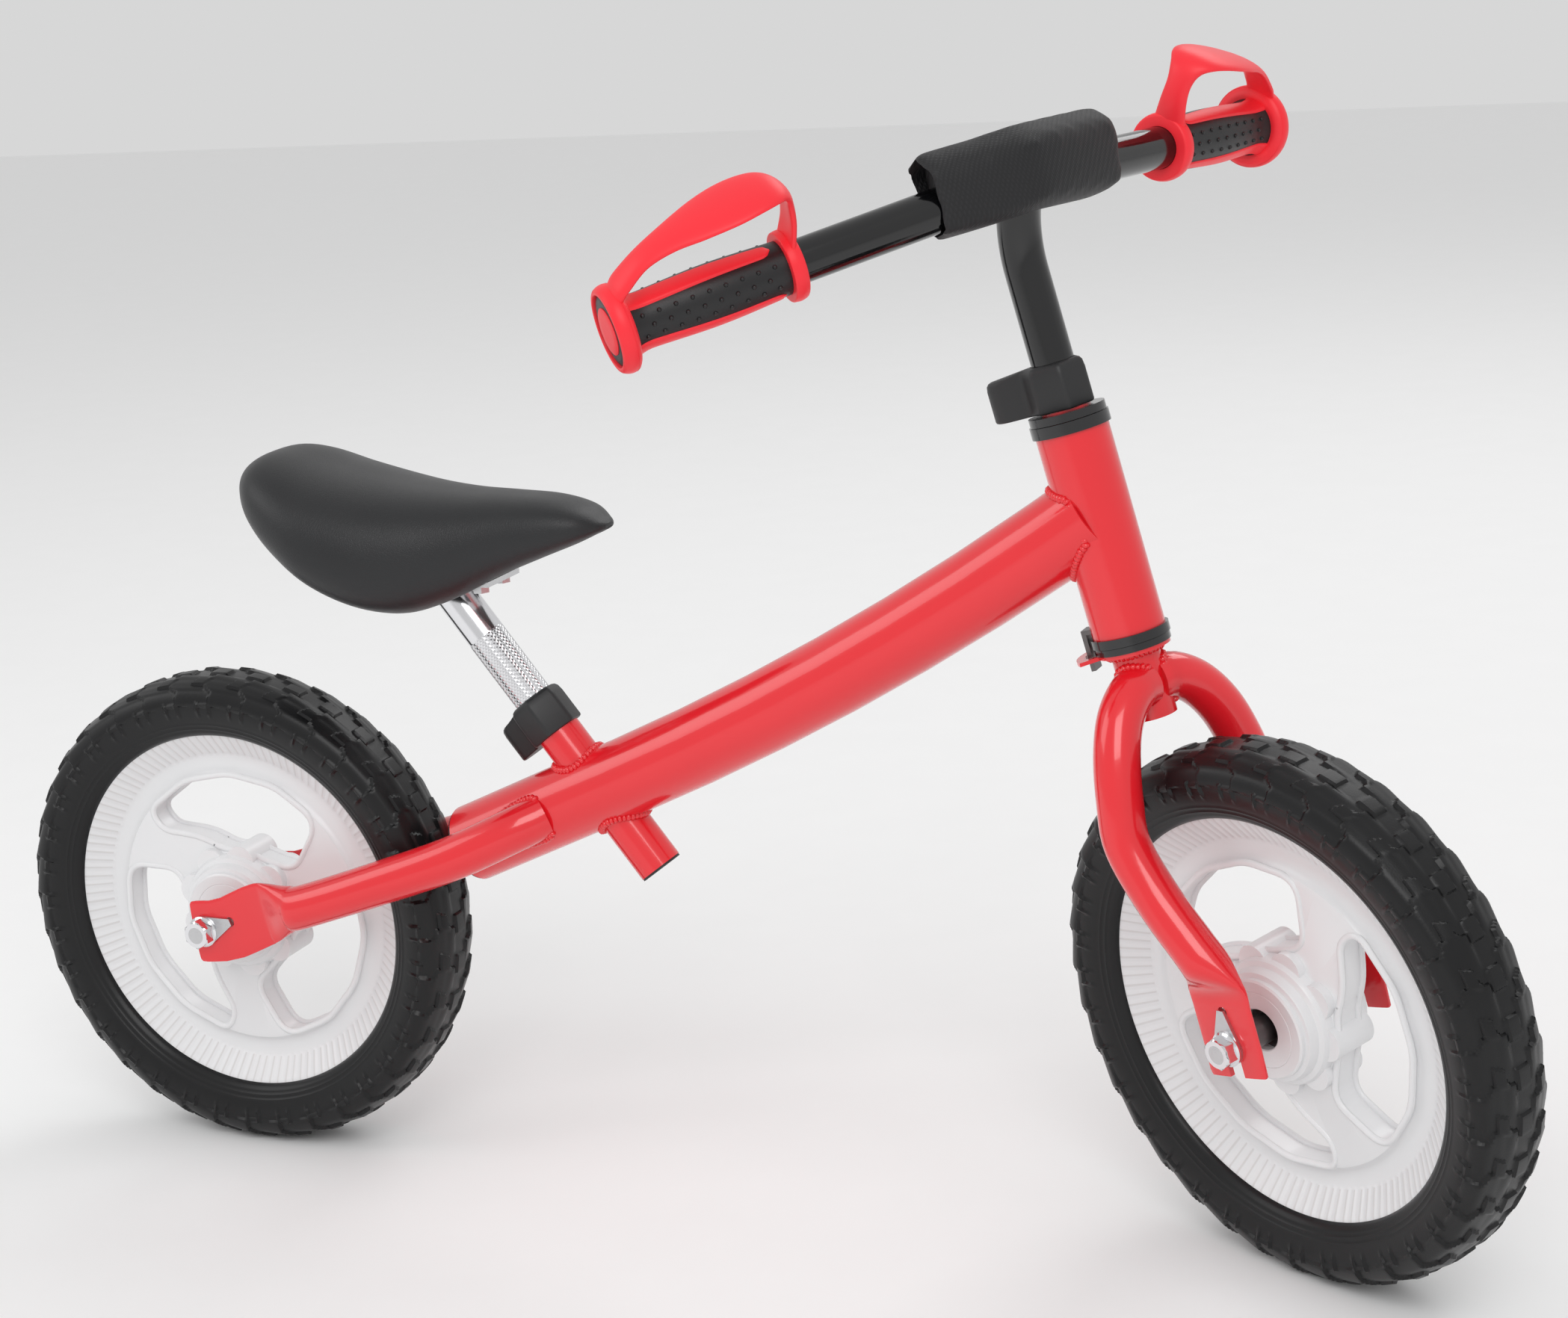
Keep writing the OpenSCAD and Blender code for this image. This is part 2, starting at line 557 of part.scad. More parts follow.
// Sections from the tail to the nose: [place along, half width, top, bottom] as shares
// of the saddle's length and width, and in millimetres over the bracket.
saddle_sections = [[0.00, 0.32, 60, 48], [0.02, 0.53, 69, 40], [0.07, 0.75, 73, 28],
    [0.14, 0.90, 71, 13], [0.24, 1.00, 64, -3], [0.36, 0.98, 58, -14], [0.48, 0.87, 53.5, -16],
    [0.60, 0.71, 51, -8], [0.72, 0.57, 50, 5], [0.84, 0.46, 48.5, 16], [0.93, 0.34, 44, 24],
    [0.98, 0.18, 37, 29.5], [1.00, 0.06, 34, 32]];
saddle_mid = 0.44;
function saddle_ring(s) =
    let (x = saddle_tail_x + s[0] * saddle_l, hw = s[1] * saddle_w / 2,
         mid = s[3] + saddle_mid * (s[2] - s[3]))
    [for (k = [0 : 27]) let (f = 360 * k / 28, tall = sin(f) > 0 ? s[2] - mid : mid - s[3])
        [x, hw * sign(cos(f)) * pow(abs(cos(f)), 0.75),
            saddle_seat[1] + mid + tall * sign(sin(f)) * pow(abs(sin(f)), 0.85)]];
module saddle() color("black") difference() {
    on_floor() skin([for (s = smooth(saddle_sections, 2)) saddle_ring(s)]);
    at_bracket() translate([-bracket_x / 2 - 3, -bracket_y / 2 - 3, -60])
        cube([bracket_x + 6, bracket_y + 6, 60 + bracket_t]);
    at_bolts() translate([0, 0, -cut]) cylinder(r = bolt_r, h = 18 + cut);
    at_seat() translate([0, 0, bracket_up - 60]) cylinder(r = inner_r + 1, h = 60);
}

// ---------- Handlebar ----------
module stem_rod(r, low) translate([0, 0, stem_bend_up]) {
    rotate([180, 0, 0]) cylinder(r = r, h = stem_bend_up - low);
    translate([stem_r, 0, 0]) rotate([90, 0, 0]) rotate([0, 0, 180]) mirror([0, 1, 0])
        rotate_extrude(angle = stem_bend, $fn = 96) translate([stem_r, 0]) circle(r = r);
}
module turned_stem(r, low) at_fork() rotate([0, 0, -bar_skew]) stem_rod(r, low);
module bar_rod(r, half) {
    reach = bar_bend_r * tan(bar_sweep) - 1;
    at_bar() translate([-bar_bend_r / cos(bar_sweep), 0, 0]) rotate([0, 0, -bar_sweep])
        rotate_extrude(angle = 2 * bar_sweep, $fn = 96)
            translate([bar_bend_r, 0]) circle(r = r + bend_step);
    for (side = [-1, 1]) at_half(side)
        translate([0, 0, reach]) cylinder(r = r, h = half - reach);
}
module stem() color("black") difference() {
    turned_stem(inner_r, stem_low);
    turned_stem(inner_r - tube_t, stem_low - cut);
    bar_rod(inner_r, bar_half - flange_l);
}
module handlebar() color("black") difference() {
    bar_rod(inner_r, bar_half - flange_l);
    bar_rod(inner_r - tube_t, bar_half);
}
// The pad follows both halves of the bar, higher above and in front than behind.
pad_t = 1.6;
pad_inset = 8;
function pad_outline(grow) = rounded([
    [-20 - grow, -15 - grow, 5], [10 + grow, -16.5 - grow, 5], [21 + grow, 16, 8],
    [7, 31 + grow, 5], [-14 - grow, 23 + grow, 6]], 3);
// One end of the pad, across a half of the bar at the given reach.
function pad_ring(grow, side, reach) =
    [for (p = pad_outline(grow))
        [p[0] * cos(bar_sweep) - reach * sin(bar_sweep),
            side * (reach * cos(bar_sweep) + p[0] * sin(bar_sweep)), p[1]]];
module pad_block(grow, more) at_bar() skin([
    pad_ring(grow, 1, pad_left + more),
    [for (p = pad_outline(grow)) [p[0] / cos(bar_sweep), 0, p[1]]],
    pad_ring(grow, -1, pad_right + more)]);
// The way through the pad for both halves of the bar, its bend, and the stem below it.
bend_back = 3;
stem_at = [-12.6, 0, -13];
stem_lean = 33;
module pad_hollow() {
    for (side = [-1, 1]) at_half(side) translate([0, 0, -2])
        cylinder(r = inner_r + bend_step + soft_gap, h = bar_half);
    at_bar() translate([-bend_back, 0, 0]) rotate([90, 0, 0])
        cylinder(r = inner_r + 1.9, h = 40, center = true);
    at_bar() translate(stem_at) rotate([0, stem_lean, 0])
        cylinder(r = inner_r + 1.5, h = 60, center = true);
}
module bar_pad() color("dimgray") difference() {
    pad_block(0, -pad_inset);
    pad_hollow();
}
module pad_cover() color("black") difference() {
    pad_block(pad_t, 0);
    pad_block(0, pad_inset);
    pad_hollow();
}
module grip(side) color("black") at_half(side)
    ring(grip_d / 2, inner_r, grip_in + collar_l, bar_half - flange_l);
guard_w = 33;
guard_t = 3.6;
// The guard's strap, as [place along the bar, height over it, half width].
function guard_line(half) = [
    [half - 7, flange_d / 2 - 4, 8], [half - 11, flange_d / 2 + 2, 8.5],
    [half - 24, guard_h - 14, 9.5], [half - 38, guard_h - 8, 12.5],
    [half - 54, guard_h - 4, guard_w / 2], [half - 70, guard_h - 1, guard_w / 2],
    [half - 84, guard_h + 1, guard_w / 2 - 3], [half - 95, guard_h, 10],
    [half - grip_l + 1, guard_h - 6, 6.5], [half - grip_l - 1, guard_h - 14, 5],
    [half - grip_l, grip_d / 2 + 7, 5], [half - grip_l + 4, grip_d / 2 - 1, 5]];
function strap_ring(s, t) =
    let (n = [-t[1], t[0]] * guard_t / 2)
    [for (q = [[1, 1], [-1, 1], [-1, -1], [1, -1]])
        [s[1] + q[0] * n[1], q[1] * s[2], s[0] + q[0] * n[0]]];
module guard(side) color("red") at_half(side) difference() {
    union() {
        ring(flange_d / 2, inner_r, bar_half - flange_l, bar_half - 2);
        ring(grip_d / 2 + 3, inner_r, grip_in, grip_in + collar_l);
        rotate([0, 0, side * guard_tilt]) {
            line = smooth(guard_line(bar_half), 3);
            skin([for (i = [0 : len(line) - 1])
                let (a = line[max(i - 1, 0)], b = line[min(i + 1, len(line) - 1)])
                strap_ring(line[i], unit([b[0] - a[0], b[1] - a[1]]))]);
        }
    }
    cylinder(r = inner_r, h = bar_half + 10);
    translate([0, 0, grip_in + collar_l]) cylinder(r = grip_d / 2, h = grip_l - collar_l - flange_l);
}
module end_disc(side) color("black") at_half(side) {
    translate([0, 0, bar_half - flange_l]) cylinder(r = inner_r, h = flange_l - 2);
    translate([0, 0, bar_half - 2]) cylinder(r = flange_d / 2 - 5, h = 2);
}
module grip_left() grip(1);
module grip_right() grip(-1);
module guard_left() guard(1);
module guard_right() guard(-1);
module end_disc_left() end_disc(1);
module end_disc_right() end_disc(-1);

main_tube();
main_tube_plug();
head_tube();
seat_tube();
seat_tube_plug();
stay_left();
stay_right();
steering_stop();
upper_cup();
lower_cup();
seat_collet();
rear_axle();
rear_axle_nuts();
rear_tab_washers();
rear_spacers();
steerer();
fork_leg_left();
fork_leg_right();
stop_plate();
crown_ring();
lock_ring();
bar_collet();
front_axle();
front_axle_nuts();
front_tab_washers();
front_spacers();
stem();
handlebar();
bar_pad();
pad_cover();
grip_left();
grip_right();
guard_left();
guard_right();
end_disc_left();
end_disc_right();
seat_post();
saddle_bracket();
saddle();
saddle_bolts();
seat_knob();
bar_knob();
rear_rim();
rear_tyre();
rear_hub_caps();
rear_bearings();
rear_hub_sleeve();
front_rim();
front_tyre();
front_hub_caps();
front_bearings();
front_hub_sleeve();
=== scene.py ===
import json
import math
import bmesh
import bpy
import numpy as np
from mathutils import Matrix, Vector


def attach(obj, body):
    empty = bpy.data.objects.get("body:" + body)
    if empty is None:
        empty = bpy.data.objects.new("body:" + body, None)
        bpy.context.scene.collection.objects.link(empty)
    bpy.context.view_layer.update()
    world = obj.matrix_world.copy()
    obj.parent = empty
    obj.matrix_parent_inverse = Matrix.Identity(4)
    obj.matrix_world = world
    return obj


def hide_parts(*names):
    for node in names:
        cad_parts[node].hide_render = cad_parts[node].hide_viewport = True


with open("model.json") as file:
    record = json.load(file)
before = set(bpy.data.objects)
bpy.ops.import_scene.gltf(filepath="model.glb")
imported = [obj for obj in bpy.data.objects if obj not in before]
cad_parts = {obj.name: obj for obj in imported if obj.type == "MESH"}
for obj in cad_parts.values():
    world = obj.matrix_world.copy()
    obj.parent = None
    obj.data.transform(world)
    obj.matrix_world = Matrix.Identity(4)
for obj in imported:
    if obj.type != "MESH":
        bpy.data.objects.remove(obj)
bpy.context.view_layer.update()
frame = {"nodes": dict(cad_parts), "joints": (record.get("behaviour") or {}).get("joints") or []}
node = frame["nodes"]
joint = {j["name"]: j for j in frame["joints"]}

# ---- Camera: it stands to the rider's right and a little ahead of the bike, and looks
# down at it from about saddle height, tipped a few degrees to one side.
rear_hub = Vector(joint["rear_wheel_spin"]["pos_m"])
turn, tilt, roll = math.radians(24.57), math.radians(14.60), math.radians(-4.05)
aim = rear_hub + Vector((0.36232, 0, 0.16708))
back = Vector((math.sin(turn) * math.cos(tilt), -math.cos(turn) * math.cos(tilt), math.sin(tilt)))
across = (-back).cross(Vector((0, 0, 1))).normalized()
above = across.cross(-back)
right = math.cos(roll) * across + math.sin(roll) * above
upward = math.cos(roll) * above - math.sin(roll) * across
look = bpy.data.cameras.new("camera")
look.lens = 67.49
look.sensor_width = 36
camera = bpy.data.objects.new("camera", look)
stand = Matrix((right, upward, back)).transposed().to_4x4()
camera.matrix_world = Matrix.Translation(aim + back * 1.57502) @ stand
bpy.context.scene.collection.objects.link(camera)
bpy.context.scene.camera = camera

# ---- Main, head and seat tubes: welded steel tubes under a thick, glossy red powder coat.
# The coat has a faint orange-peel skin and pools slightly, so its tone and gloss drift.
FRAME_RED = (0.80, 0.012, 0.021)


def wire(tree, kind, sockets, **settings):
    """One node of a tree. A socket is given a value, or a node or an output that feeds it."""
    made = tree.nodes.new(kind)
    for name, value in settings.items():
        setattr(made, name, value)
    for name, value in sockets.items():
        if isinstance(value, bpy.types.Node):
            value = next(o for o in value.outputs if o.enabled)
        if isinstance(value, bpy.types.NodeSocket):
            tree.links.new(value, made.inputs[name])
        else:
            made.inputs[name].default_value = value
    return made


def finish(name, colour, rough, metal=0.0, coat=0.0, specular=0.5, mottle=0.05, mottle_size=0.05,
           grain=0.05, grain_size=0.002, rough_drift=0.05):
    """A moulded, painted or plated surface: drifting tone, drifting gloss and a fine skin."""
    m = bpy.data.materials.new(name)
    m.use_nodes = True
    t = m.node_tree
    shader = t.nodes["Principled BSDF"]
    for socket, value in (("Metallic", metal), ("Coat Weight", coat), ("Coat Roughness", 0.06),
                          ("Specular IOR Level", specular)):
        shader.inputs[socket].default_value = value
    place = wire(t, "ShaderNodeTexCoord", {}).outputs["Object"]
    drift = wire(t, "ShaderNodeTexNoise", {"Vector": place, "Scale": 1 / mottle_size, "Detail": 3})
    dark, light = [(*[min(1, c * (1 + k * mottle)) for c in colour], 1) for k in (-1, 1)]
    tone = wire(t, "ShaderNodeMix", {"Factor": drift, "A": dark, "B": light}, data_type="RGBA")
    gloss = wire(t, "ShaderNodeMapRange", {"Value": drift, "To Min": max(0.02, rough - rough_drift),
                                           "To Max": rough + rough_drift})
    fine = wire(t, "ShaderNodeTexNoise", {"Vector": place, "Scale": 1 / grain_size, "Detail": 2})
    skin = wire(t, "ShaderNodeBump", {"Height": fine, "Strength": grain, "Distance": grain_size * 0.3})
    t.links.new(tone.outputs["Result"], shader.inputs["Base Color"])
    t.links.new(gloss.outputs["Result"], shader.inputs["Roughness"])
    t.links.new(skin.outputs["Normal"], shader.inputs["Normal"])
    return m


def coat_node(material, *names):
    """Gives the part's own solids their finish."""
    for name in names:
        for place in node[name].material_slots:
            place.material = material


red_paint = finish("red_powder_coat", FRAME_RED, 0.20, coat=0.6, grain=0.05, grain_size=0.0025,
                   mottle=0.04)
coat_node(red_paint, "main_tube", "head_tube", "seat_tube")

# ---- Plugs: pushed-in black plastic caps that close the tubes' open lower ends.
# They are matt and slightly scuffed from the mould.
cap_plastic = finish("black_cap_plastic", (0.018, 0.018, 0.019), 0.5, grain=0.2, grain_size=0.0008)
coat_node(cap_plastic, "main_tube_plug", "seat_tube_plug", "seat_collet", "bar_collet")

# ---- Rear stays: steel tubes welded to the main tube's flanks and pressed flat at the
# axle, where each has a slot open to the rear and a hole for the tab washer.
STAY_R = 12.7
PLATE_T = 1.5
PLATE_H = 19.0
DROP_Y = 46.0
SLOT_R = 5.1
CUT_REACH = 9.0
TAIL_DIR = math.radians(17.3)
MAIN_RISE = math.radians(24)
MAIN_R = 22.25


def flow(stations, each):
    """A smooth run through the stations, with each extra steps between two of them."""
    p = np.array(stations, float)
    out = []
    for i in range(len(p) - 1):
        a, b, c, d = p[max(i - 1, 0)], p[i], p[i + 1], p[min(i + 2, len(p) - 1)]
        for k in range(each):
            s = k / each
            out.append((2 * b + (c - a) * s + (2 * a - 5 * b + 4 * c - d) * s * s
                        + (3 * b - a - 3 * c + d) * s ** 3) / 2)
    out.append(p[-1])
    return np.array(out)


def pressed_rings(stations, sides=40, squareness=1.0):
    """Rings round a path of [x, y, z, half thickness across Y, half height]."""
    rings = []
    turn_round = np.linspace(0, 2 * np.pi, sides, endpoint=False)
    for i, s in enumerate(stations):
        way = stations[min(i + 1, len(stations) - 1)][:3] - stations[max(i - 1, 0)][:3]
        way = way / np.linalg.norm(way)
        thin = np.array([0, 1, 0]) - way[1] * way
        thin /= np.linalg.norm(thin)
        wide = np.cross(way, thin)
        c, n = np.cos(turn_round), np.sin(turn_round)
        flat = 1 - min(1, s[3] / s[4]) if squareness == 1 else 0
        c = np.sign(c) * np.abs(c) ** (1 - 0.6 * flat)
        rings.append(s[:3] + np.outer(c * s[3], thin) + np.outer(n * s[4], wide))
    return np.array(rings)


def ring_faces(m, n, first, last):
    """The four-sided faces between rings first to last of m rings with n points each."""
    k = np.arange(n)
    faces = []
    for i in range(first, last):
        a, b, c = i * n + k, i * n + (k + 1) % n, (i + 1) % m * n
        faces += np.stack([a, b, c + (k + 1) % n, c + k], 1).tolist()
    return faces


def skin_of(rings):
    """Points and faces of a closed skin over equal rings, with a cap on each end."""
    m, n = rings.shape[:2]
    caps = [list(range(n))[::-1], [(m - 1) * n + i for i in range(n)]]
    return rings.reshape(-1, 3), ring_faces(m, n, 0, m - 1) + caps


def face_out(mesh):
    """Merges a mesh's doubles and turns its faces outward."""
    work = bmesh.new()
    work.from_mesh(mesh)
    bmesh.ops.remove_doubles(work, verts=work.verts, dist=1e-6)
    bmesh.ops.recalc_face_normals(work, faces=work.faces)
    work.to_mesh(mesh)
    work.free()


def solid(name, parts, place=None, smooth=35):
    """One mesh object from [(points in millimetres, faces), ...], placed by a matrix in metres."""
    points, faces, start = [], [], 0
    for p, f in parts:
        points.append(np.array(p, float) / 1000)
        faces += [[v + start for v in q] for q in f]
        start += len(p)
    mesh = bpy.data.meshes.new(name)
    mesh.from_pydata(np.concatenate(points).tolist(), [], faces)
    face_out(mesh)
    if place is not None:
        mesh.transform(place)
    thing = bpy.data.objects.new(name, mesh)
    bpy.context.scene.collection.objects.link(thing)
    mesh.shade_smooth()
    if smooth:
        mesh.set_sharp_from_angle(angle=math.radians(smooth))
    return thing


def crisp(thing, angle):
    """Shades the thing smooth, with edges sharper than the angle kept sharp."""
    thing.data.shade_smooth()
    thing.data.set_sharp_from_angle(angle=math.radians(angle))


def settle(thing):
    """The thing with its modifiers made real, as a plain mesh."""
    seen = thing.evaluated_get(bpy.context.evaluated_depsgraph_get())
    mesh = bpy.data.meshes.new_from_object(seen)
    thing.modifiers.clear()
    thing.data = mesh
    return thing


def carve(thing, *tools):
    """Cuts each tool out of the thing."""
    for tool in tools:
        cut = thing.modifiers.new("cut", "BOOLEAN")
        cut.operation = "DIFFERENCE"
        cut.solver = "EXACT"
        cut.object = tool
    settle(thing)
    for tool in tools:
        bpy.data.objects.remove(tool)
    return thing


def rod(low_end, high_end, radius, sides=48):
    """Points and faces of a plain cylinder between two points."""
    a, b = np.array(low_end, float), np.array(high_end, float)
    way = (b - a) / np.linalg.norm(b - a)
    side = np.cross(way, [0, 0, 1.0] if abs(way[2]) < 0.9 else [1.0, 0, 0])
    side /= np.linalg.norm(side)
    other = np.cross(way, side)
    f = np.linspace(0, 2 * np.pi, sides, endpoint=False)
    ring = radius * (np.outer(np.cos(f), side) + np.outer(np.sin(f), other))
    return skin_of(np.array([a + ring, b + ring]))


def dress(thing, material, body, slot, *nodes):
    """Finish, body and the solids that the thing stands for. The slot argument is not used."""
    thing.data.materials.clear()
    thing.data.materials.append(material)
    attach(thing, body)
    if nodes:
        thing.name = thing.name.split(".")[0] + "_finished"
        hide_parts(*nodes)
    return thing


def cut_dropout(part, place, y, corners, hole_at):
    """Cuts the axle's open slot and the small hole for the tab washer through a pressed end."""
    near, far = y - CUT_REACH, y + CUT_REACH
    slot_end = solid("slot", [rod((0, near, 0), (0, far, 0), SLOT_R)], place)
    walls = np.array([[[x, v, z] for x, z in corners] for v in (near, far)])
    mouth = solid("mouth", [skin_of(walls)], place)
    x, z = 19 * math.cos(math.radians(hole_at)), 19 * math.sin(math.radians(hole_at))
    carve(part, slot_end, mouth, solid("hole", [rod((x, near, z), (x, far, z), 3)], place))
    crisp(part, 40)


rear_place = Matrix.Translation(rear_hub)
tail = np.array([167.5 * math.cos(TAIL_DIR), 167.5 * math.sin(TAIL_DIR)])
run = np.array([math.cos(MAIN_RISE), math.sin(MAIN_RISE)])
edge_weld = {}
for side, word in ((1, "left"), (-1, "right")):
    start, plate = tail + 60 * run, [math.cos(TAIL_DIR), math.sin(TAIL_DIR)]
    w = STAY_R
    bend = flow([
        [start[0], side * (MAIN_R - 8), start[1], w, w],
        [tail[0] + 42 * run[0], side * (MAIN_R + 4), tail[1] + 42 * run[1], w, w],
        [tail[0] + 4, side * (DROP_Y - 9), tail[1] + 2, w, w],
        [0.73 * tail[0], side * (DROP_Y - 3), 0.73 * tail[1] - 1, w, w],
        [74 * plate[0], side * DROP_Y, 74 * plate[1] - 2, w - 0.5, w],
        [62 * plate[0], side * DROP_Y, 62 * plate[1] - 1, w - 3, w + 1],
        [48 * plate[0], side * DROP_Y, 48 * plate[1], PLATE_T + 1.5, PLATE_H - 1],
        [40 * plate[0], side * DROP_Y, 40 * plate[1], PLATE_T, PLATE_H],
        [20 * plate[0], side * DROP_Y, 10 * plate[1], PLATE_T, PLATE_H]], 6)
    end = [[x, side * DROP_Y, -1 + 0.1 * x, PLATE_T, h] for x, h in
           ((8, 19), (2, 19), (-3, 19), (-6.5, 18.6), (-7.5, 17.4))]
    rings = pressed_rings(np.concatenate([bend, np.array(end, float)]))
    edge_weld[word] = rings
    stay = solid("rear_stay_" + word, [skin_of(rings)], rear_place)
    cut_dropout(stay, rear_place, side * DROP_Y,
                [(-40, SLOT_R), (0, SLOT_R), (0, -SLOT_R), (-40, -SLOT_R)], hole_at=20)
    dress(stay, red_paint, "frame", "frame_red", "stay_" + word)

# ---- Weld beads on the frame: overlapping scallops of filler laid round each joint by hand
# and painted over with the frame. Each bead is a row of small flat rounds along the seam.
BEAD_R = 2.3
BEAD_STEP = 2.4


def seam(rings, inside):
    """The closed line where a tube's skin enters another tube; inside is below zero there."""
    line = []
    for k in range(rings.shape[1]):
        d = np.array([inside(p) for p in rings[:, k]])
        hit = np.nonzero((d[:-1] < 0) != (d[1:] < 0))[0]
        if len(hit):
            i = hit[-1]
            s = d[i] / (d[i] - d[i + 1])
            line.append(rings[i, k] * (1 - s) + rings[i + 1, k] * s)
    return np.array(line)


def new_tree(name, kind, inputs):
    """An empty tree with a geometry in and out and named inputs for its sizes, and its start."""
    g = bpy.data.node_groups.new(name, "GeometryNodeTree")
    g.interface.new_socket("Geometry", in_out="INPUT", socket_type="NodeSocketGeometry")
    for word, value in inputs.items():
        g.interface.new_socket(word, in_out="INPUT", socket_type=kind).default_value = value
    g.interface.new_socket("Geometry", in_out="OUTPUT", socket_type="NodeSocketGeometry")
    return g, g.nodes.new("NodeGroupInput").outputs


def close_tree(g, made, material):
    """Sets the material on what was made and hands it out."""
    paint = wire(g, "GeometryNodeSetMaterial", {"Geometry": made, "Material": material})
    wire(g, "NodeGroupOutput", {"Geometry": paint})
    return g


def bead_tree(material):
    """A tree that lays scallops along a curve: its radius, its step and its flatness."""
    g, start = new_tree("weld_bead", "NodeSocketFloat",
                        {"Bead radius": BEAD_R / 1000, "Step": BEAD_STEP / 1000})
    even = wire(g, "GeometryNodeResampleCurve", {"Curve": start["Geometry"], "Length": start["Step"]},
                mode="LENGTH")
    drop = wire(g, "GeometryNodeMeshIcoSphere", {"Subdivisions": 2, "Radius": start["Bead radius"]})
    way = wire(g, "GeometryNodeInputTangent", {})
    face = wire(g, "FunctionNodeAlignRotationToVector", {"Vector": way}, axis="Z")
    vary = wire(g, "FunctionNodeRandomValue", {0: (0.9, 0.9, 0.62), 1: (1.08, 1.08, 0.8), "Seed": 7},
                data_type="FLOAT_VECTOR")
    lay = wire(g, "GeometryNodeInstanceOnPoints", {"Points": even, "Instance": drop.outputs["Mesh"],
                                                   "Rotation": face, "Scale": vary})
    real = wire(g, "GeometryNodeRealizeInstances", {"Geometry": lay})
    return close_tree(g, wire(g, "GeometryNodeSetShadeSmooth", {"Geometry": real}), material)


def set_tree(thing, tree, sizes):
    """Puts a tree on the thing with its named inputs set by their identifiers."""
    run_tree = thing.modifiers.new(tree.name, "NODES")
    run_tree.node_group = tree
    for socket in tree.interface.items_tree:
        if socket.in_out == "INPUT" and socket.name in sizes:
            run_tree[socket.identifier] = sizes[socket.name]


def weld(name, lines, place, body):
    """One mesh of beads along closed lines given in millimetres."""
    curve = bpy.data.curves.new(name, "CURVE")
    curve.dimensions = "3D"
    for line in lines:
        s = curve.splines.new("POLY")
        s.points.add(len(line) - 1)
        for q, p in zip(s.points, line):
            q.co = (*(np.array(p) / 1000), 1)
        s.use_cyclic_u = True
    thing = bpy.data.objects.new(name, curve)
    bpy.context.scene.collection.objects.link(thing)
    set_tree(thing, weld_tree, {"Bead radius": BEAD_R / 1000})
    seen = thing.evaluated_get(bpy.context.evaluated_depsgraph_get())
    mesh = bpy.data.meshes.new_from_object(seen)
    bpy.data.objects.remove(thing)
    mesh.transform(place)
    laid = bpy.data.objects.new(name, mesh)
    bpy.context.scene.collection.objects.link(laid)
    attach(laid, body)
    return laid


def from_axis(point, way, radius):
    """How far outside a cylinder a point lies."""
    c, a = np.array(point, float), np.array(way, float)
    a = a / np.linalg.norm(a)
    return lambda p: np.linalg.norm(np.cross(p - c, a)) - radius


weld_tree = bead_tree(red_paint)
steer_foot = Vector(joint["steering"]["pos_m"])
steer_way = Vector(joint["steering"]["axis"])
BEND_AT = tail + 112 * run
axis_at = [(steer_foot - rear_hub)[0] * 1000, 0, (steer_foot - rear_hub)[2] * 1000]
steer_dir = [steer_way[0], 0, steer_way[2]]
JOINT_UP = 269.0
meet = np.array([axis_at[0] + JOINT_UP * steer_dir[0], axis_at[2] + JOINT_UP * steer_dir[2]])
chord = meet - BEND_AT
half_turn = math.atan2(chord[1], chord[0]) - MAIN_RISE
bend_r = np.linalg.norm(chord) / (2 * math.sin(half_turn))
arc = []
for k in range(60):
    f = MAIN_RISE + 2 * half_turn * (0.85 + 0.15 * k / 59)
    centre = BEND_AT + bend_r * np.array([-math.sin(MAIN_RISE), math.cos(MAIN_RISE)])
    arc.append([centre[0] + bend_r * math.sin(f), 0, centre[1] - bend_r * math.cos(f), MAIN_R, MAIN_R])
head_line = seam(pressed_rings(np.array(arc), 72)[::-1], from_axis(axis_at, steer_dir, 19.4))
seat_cross = tail + 93 * run
seat_dir = [-math.sin(math.radians(37)), 0, math.cos(math.radians(37))]
post = [[seat_cross[0] + u * seat_dir[0], 0, seat_cross[1] + u * seat_dir[2], 13.9, 13.9]
        for u in np.linspace(0, 45, 90)]
under = [[seat_cross[0] - u * seat_dir[0], 0, seat_cross[1] - u * seat_dir[2], 13.9, 13.9]
         for u in np.linspace(0, 45, 90)]
on_main = from_axis([tail[0], 0, tail[1]], [run[0], 0, run[1]], MAIN_R + 0.2)
weld("frame_welds", [head_line, seam(pressed_rings(np.array(post)), on_main),
                     seam(pressed_rings(np.array(under)), on_main),
                     seam(edge_weld["left"][::-1], on_main), seam(edge_weld["right"][::-1], on_main)],
     rear_place, "frame")

# ---- Headset and steering stop: black enamelled cups and rings that hold the turning fork in
# the head tube, and a zinc-plated tab that catches in the fork's stop plate at full lock.
black_enamel = finish("black_enamel", (0.012, 0.012, 0.013), 0.16, coat=0.3, grain=0.03, mottle=0.1)
coat_node(black_enamel, "upper_cup", "lower_cup", "crown_ring", "lock_ring")
zinc = finish("zinc_plate", (0.60, 0.60, 0.61), 0.30, metal=1.0, grain=0.16, grain_size=0.0012,
              mottle=0.10, mottle_size=0.006, rough_drift=0.10)
dark_zinc = finish("dark_zinc_plate", (0.16, 0.15, 0.15), 0.34, metal=1.0, grain=0.1, mottle=0.2,
                   mottle_size=0.008)
coat_node(dark_zinc, "steering_stop")

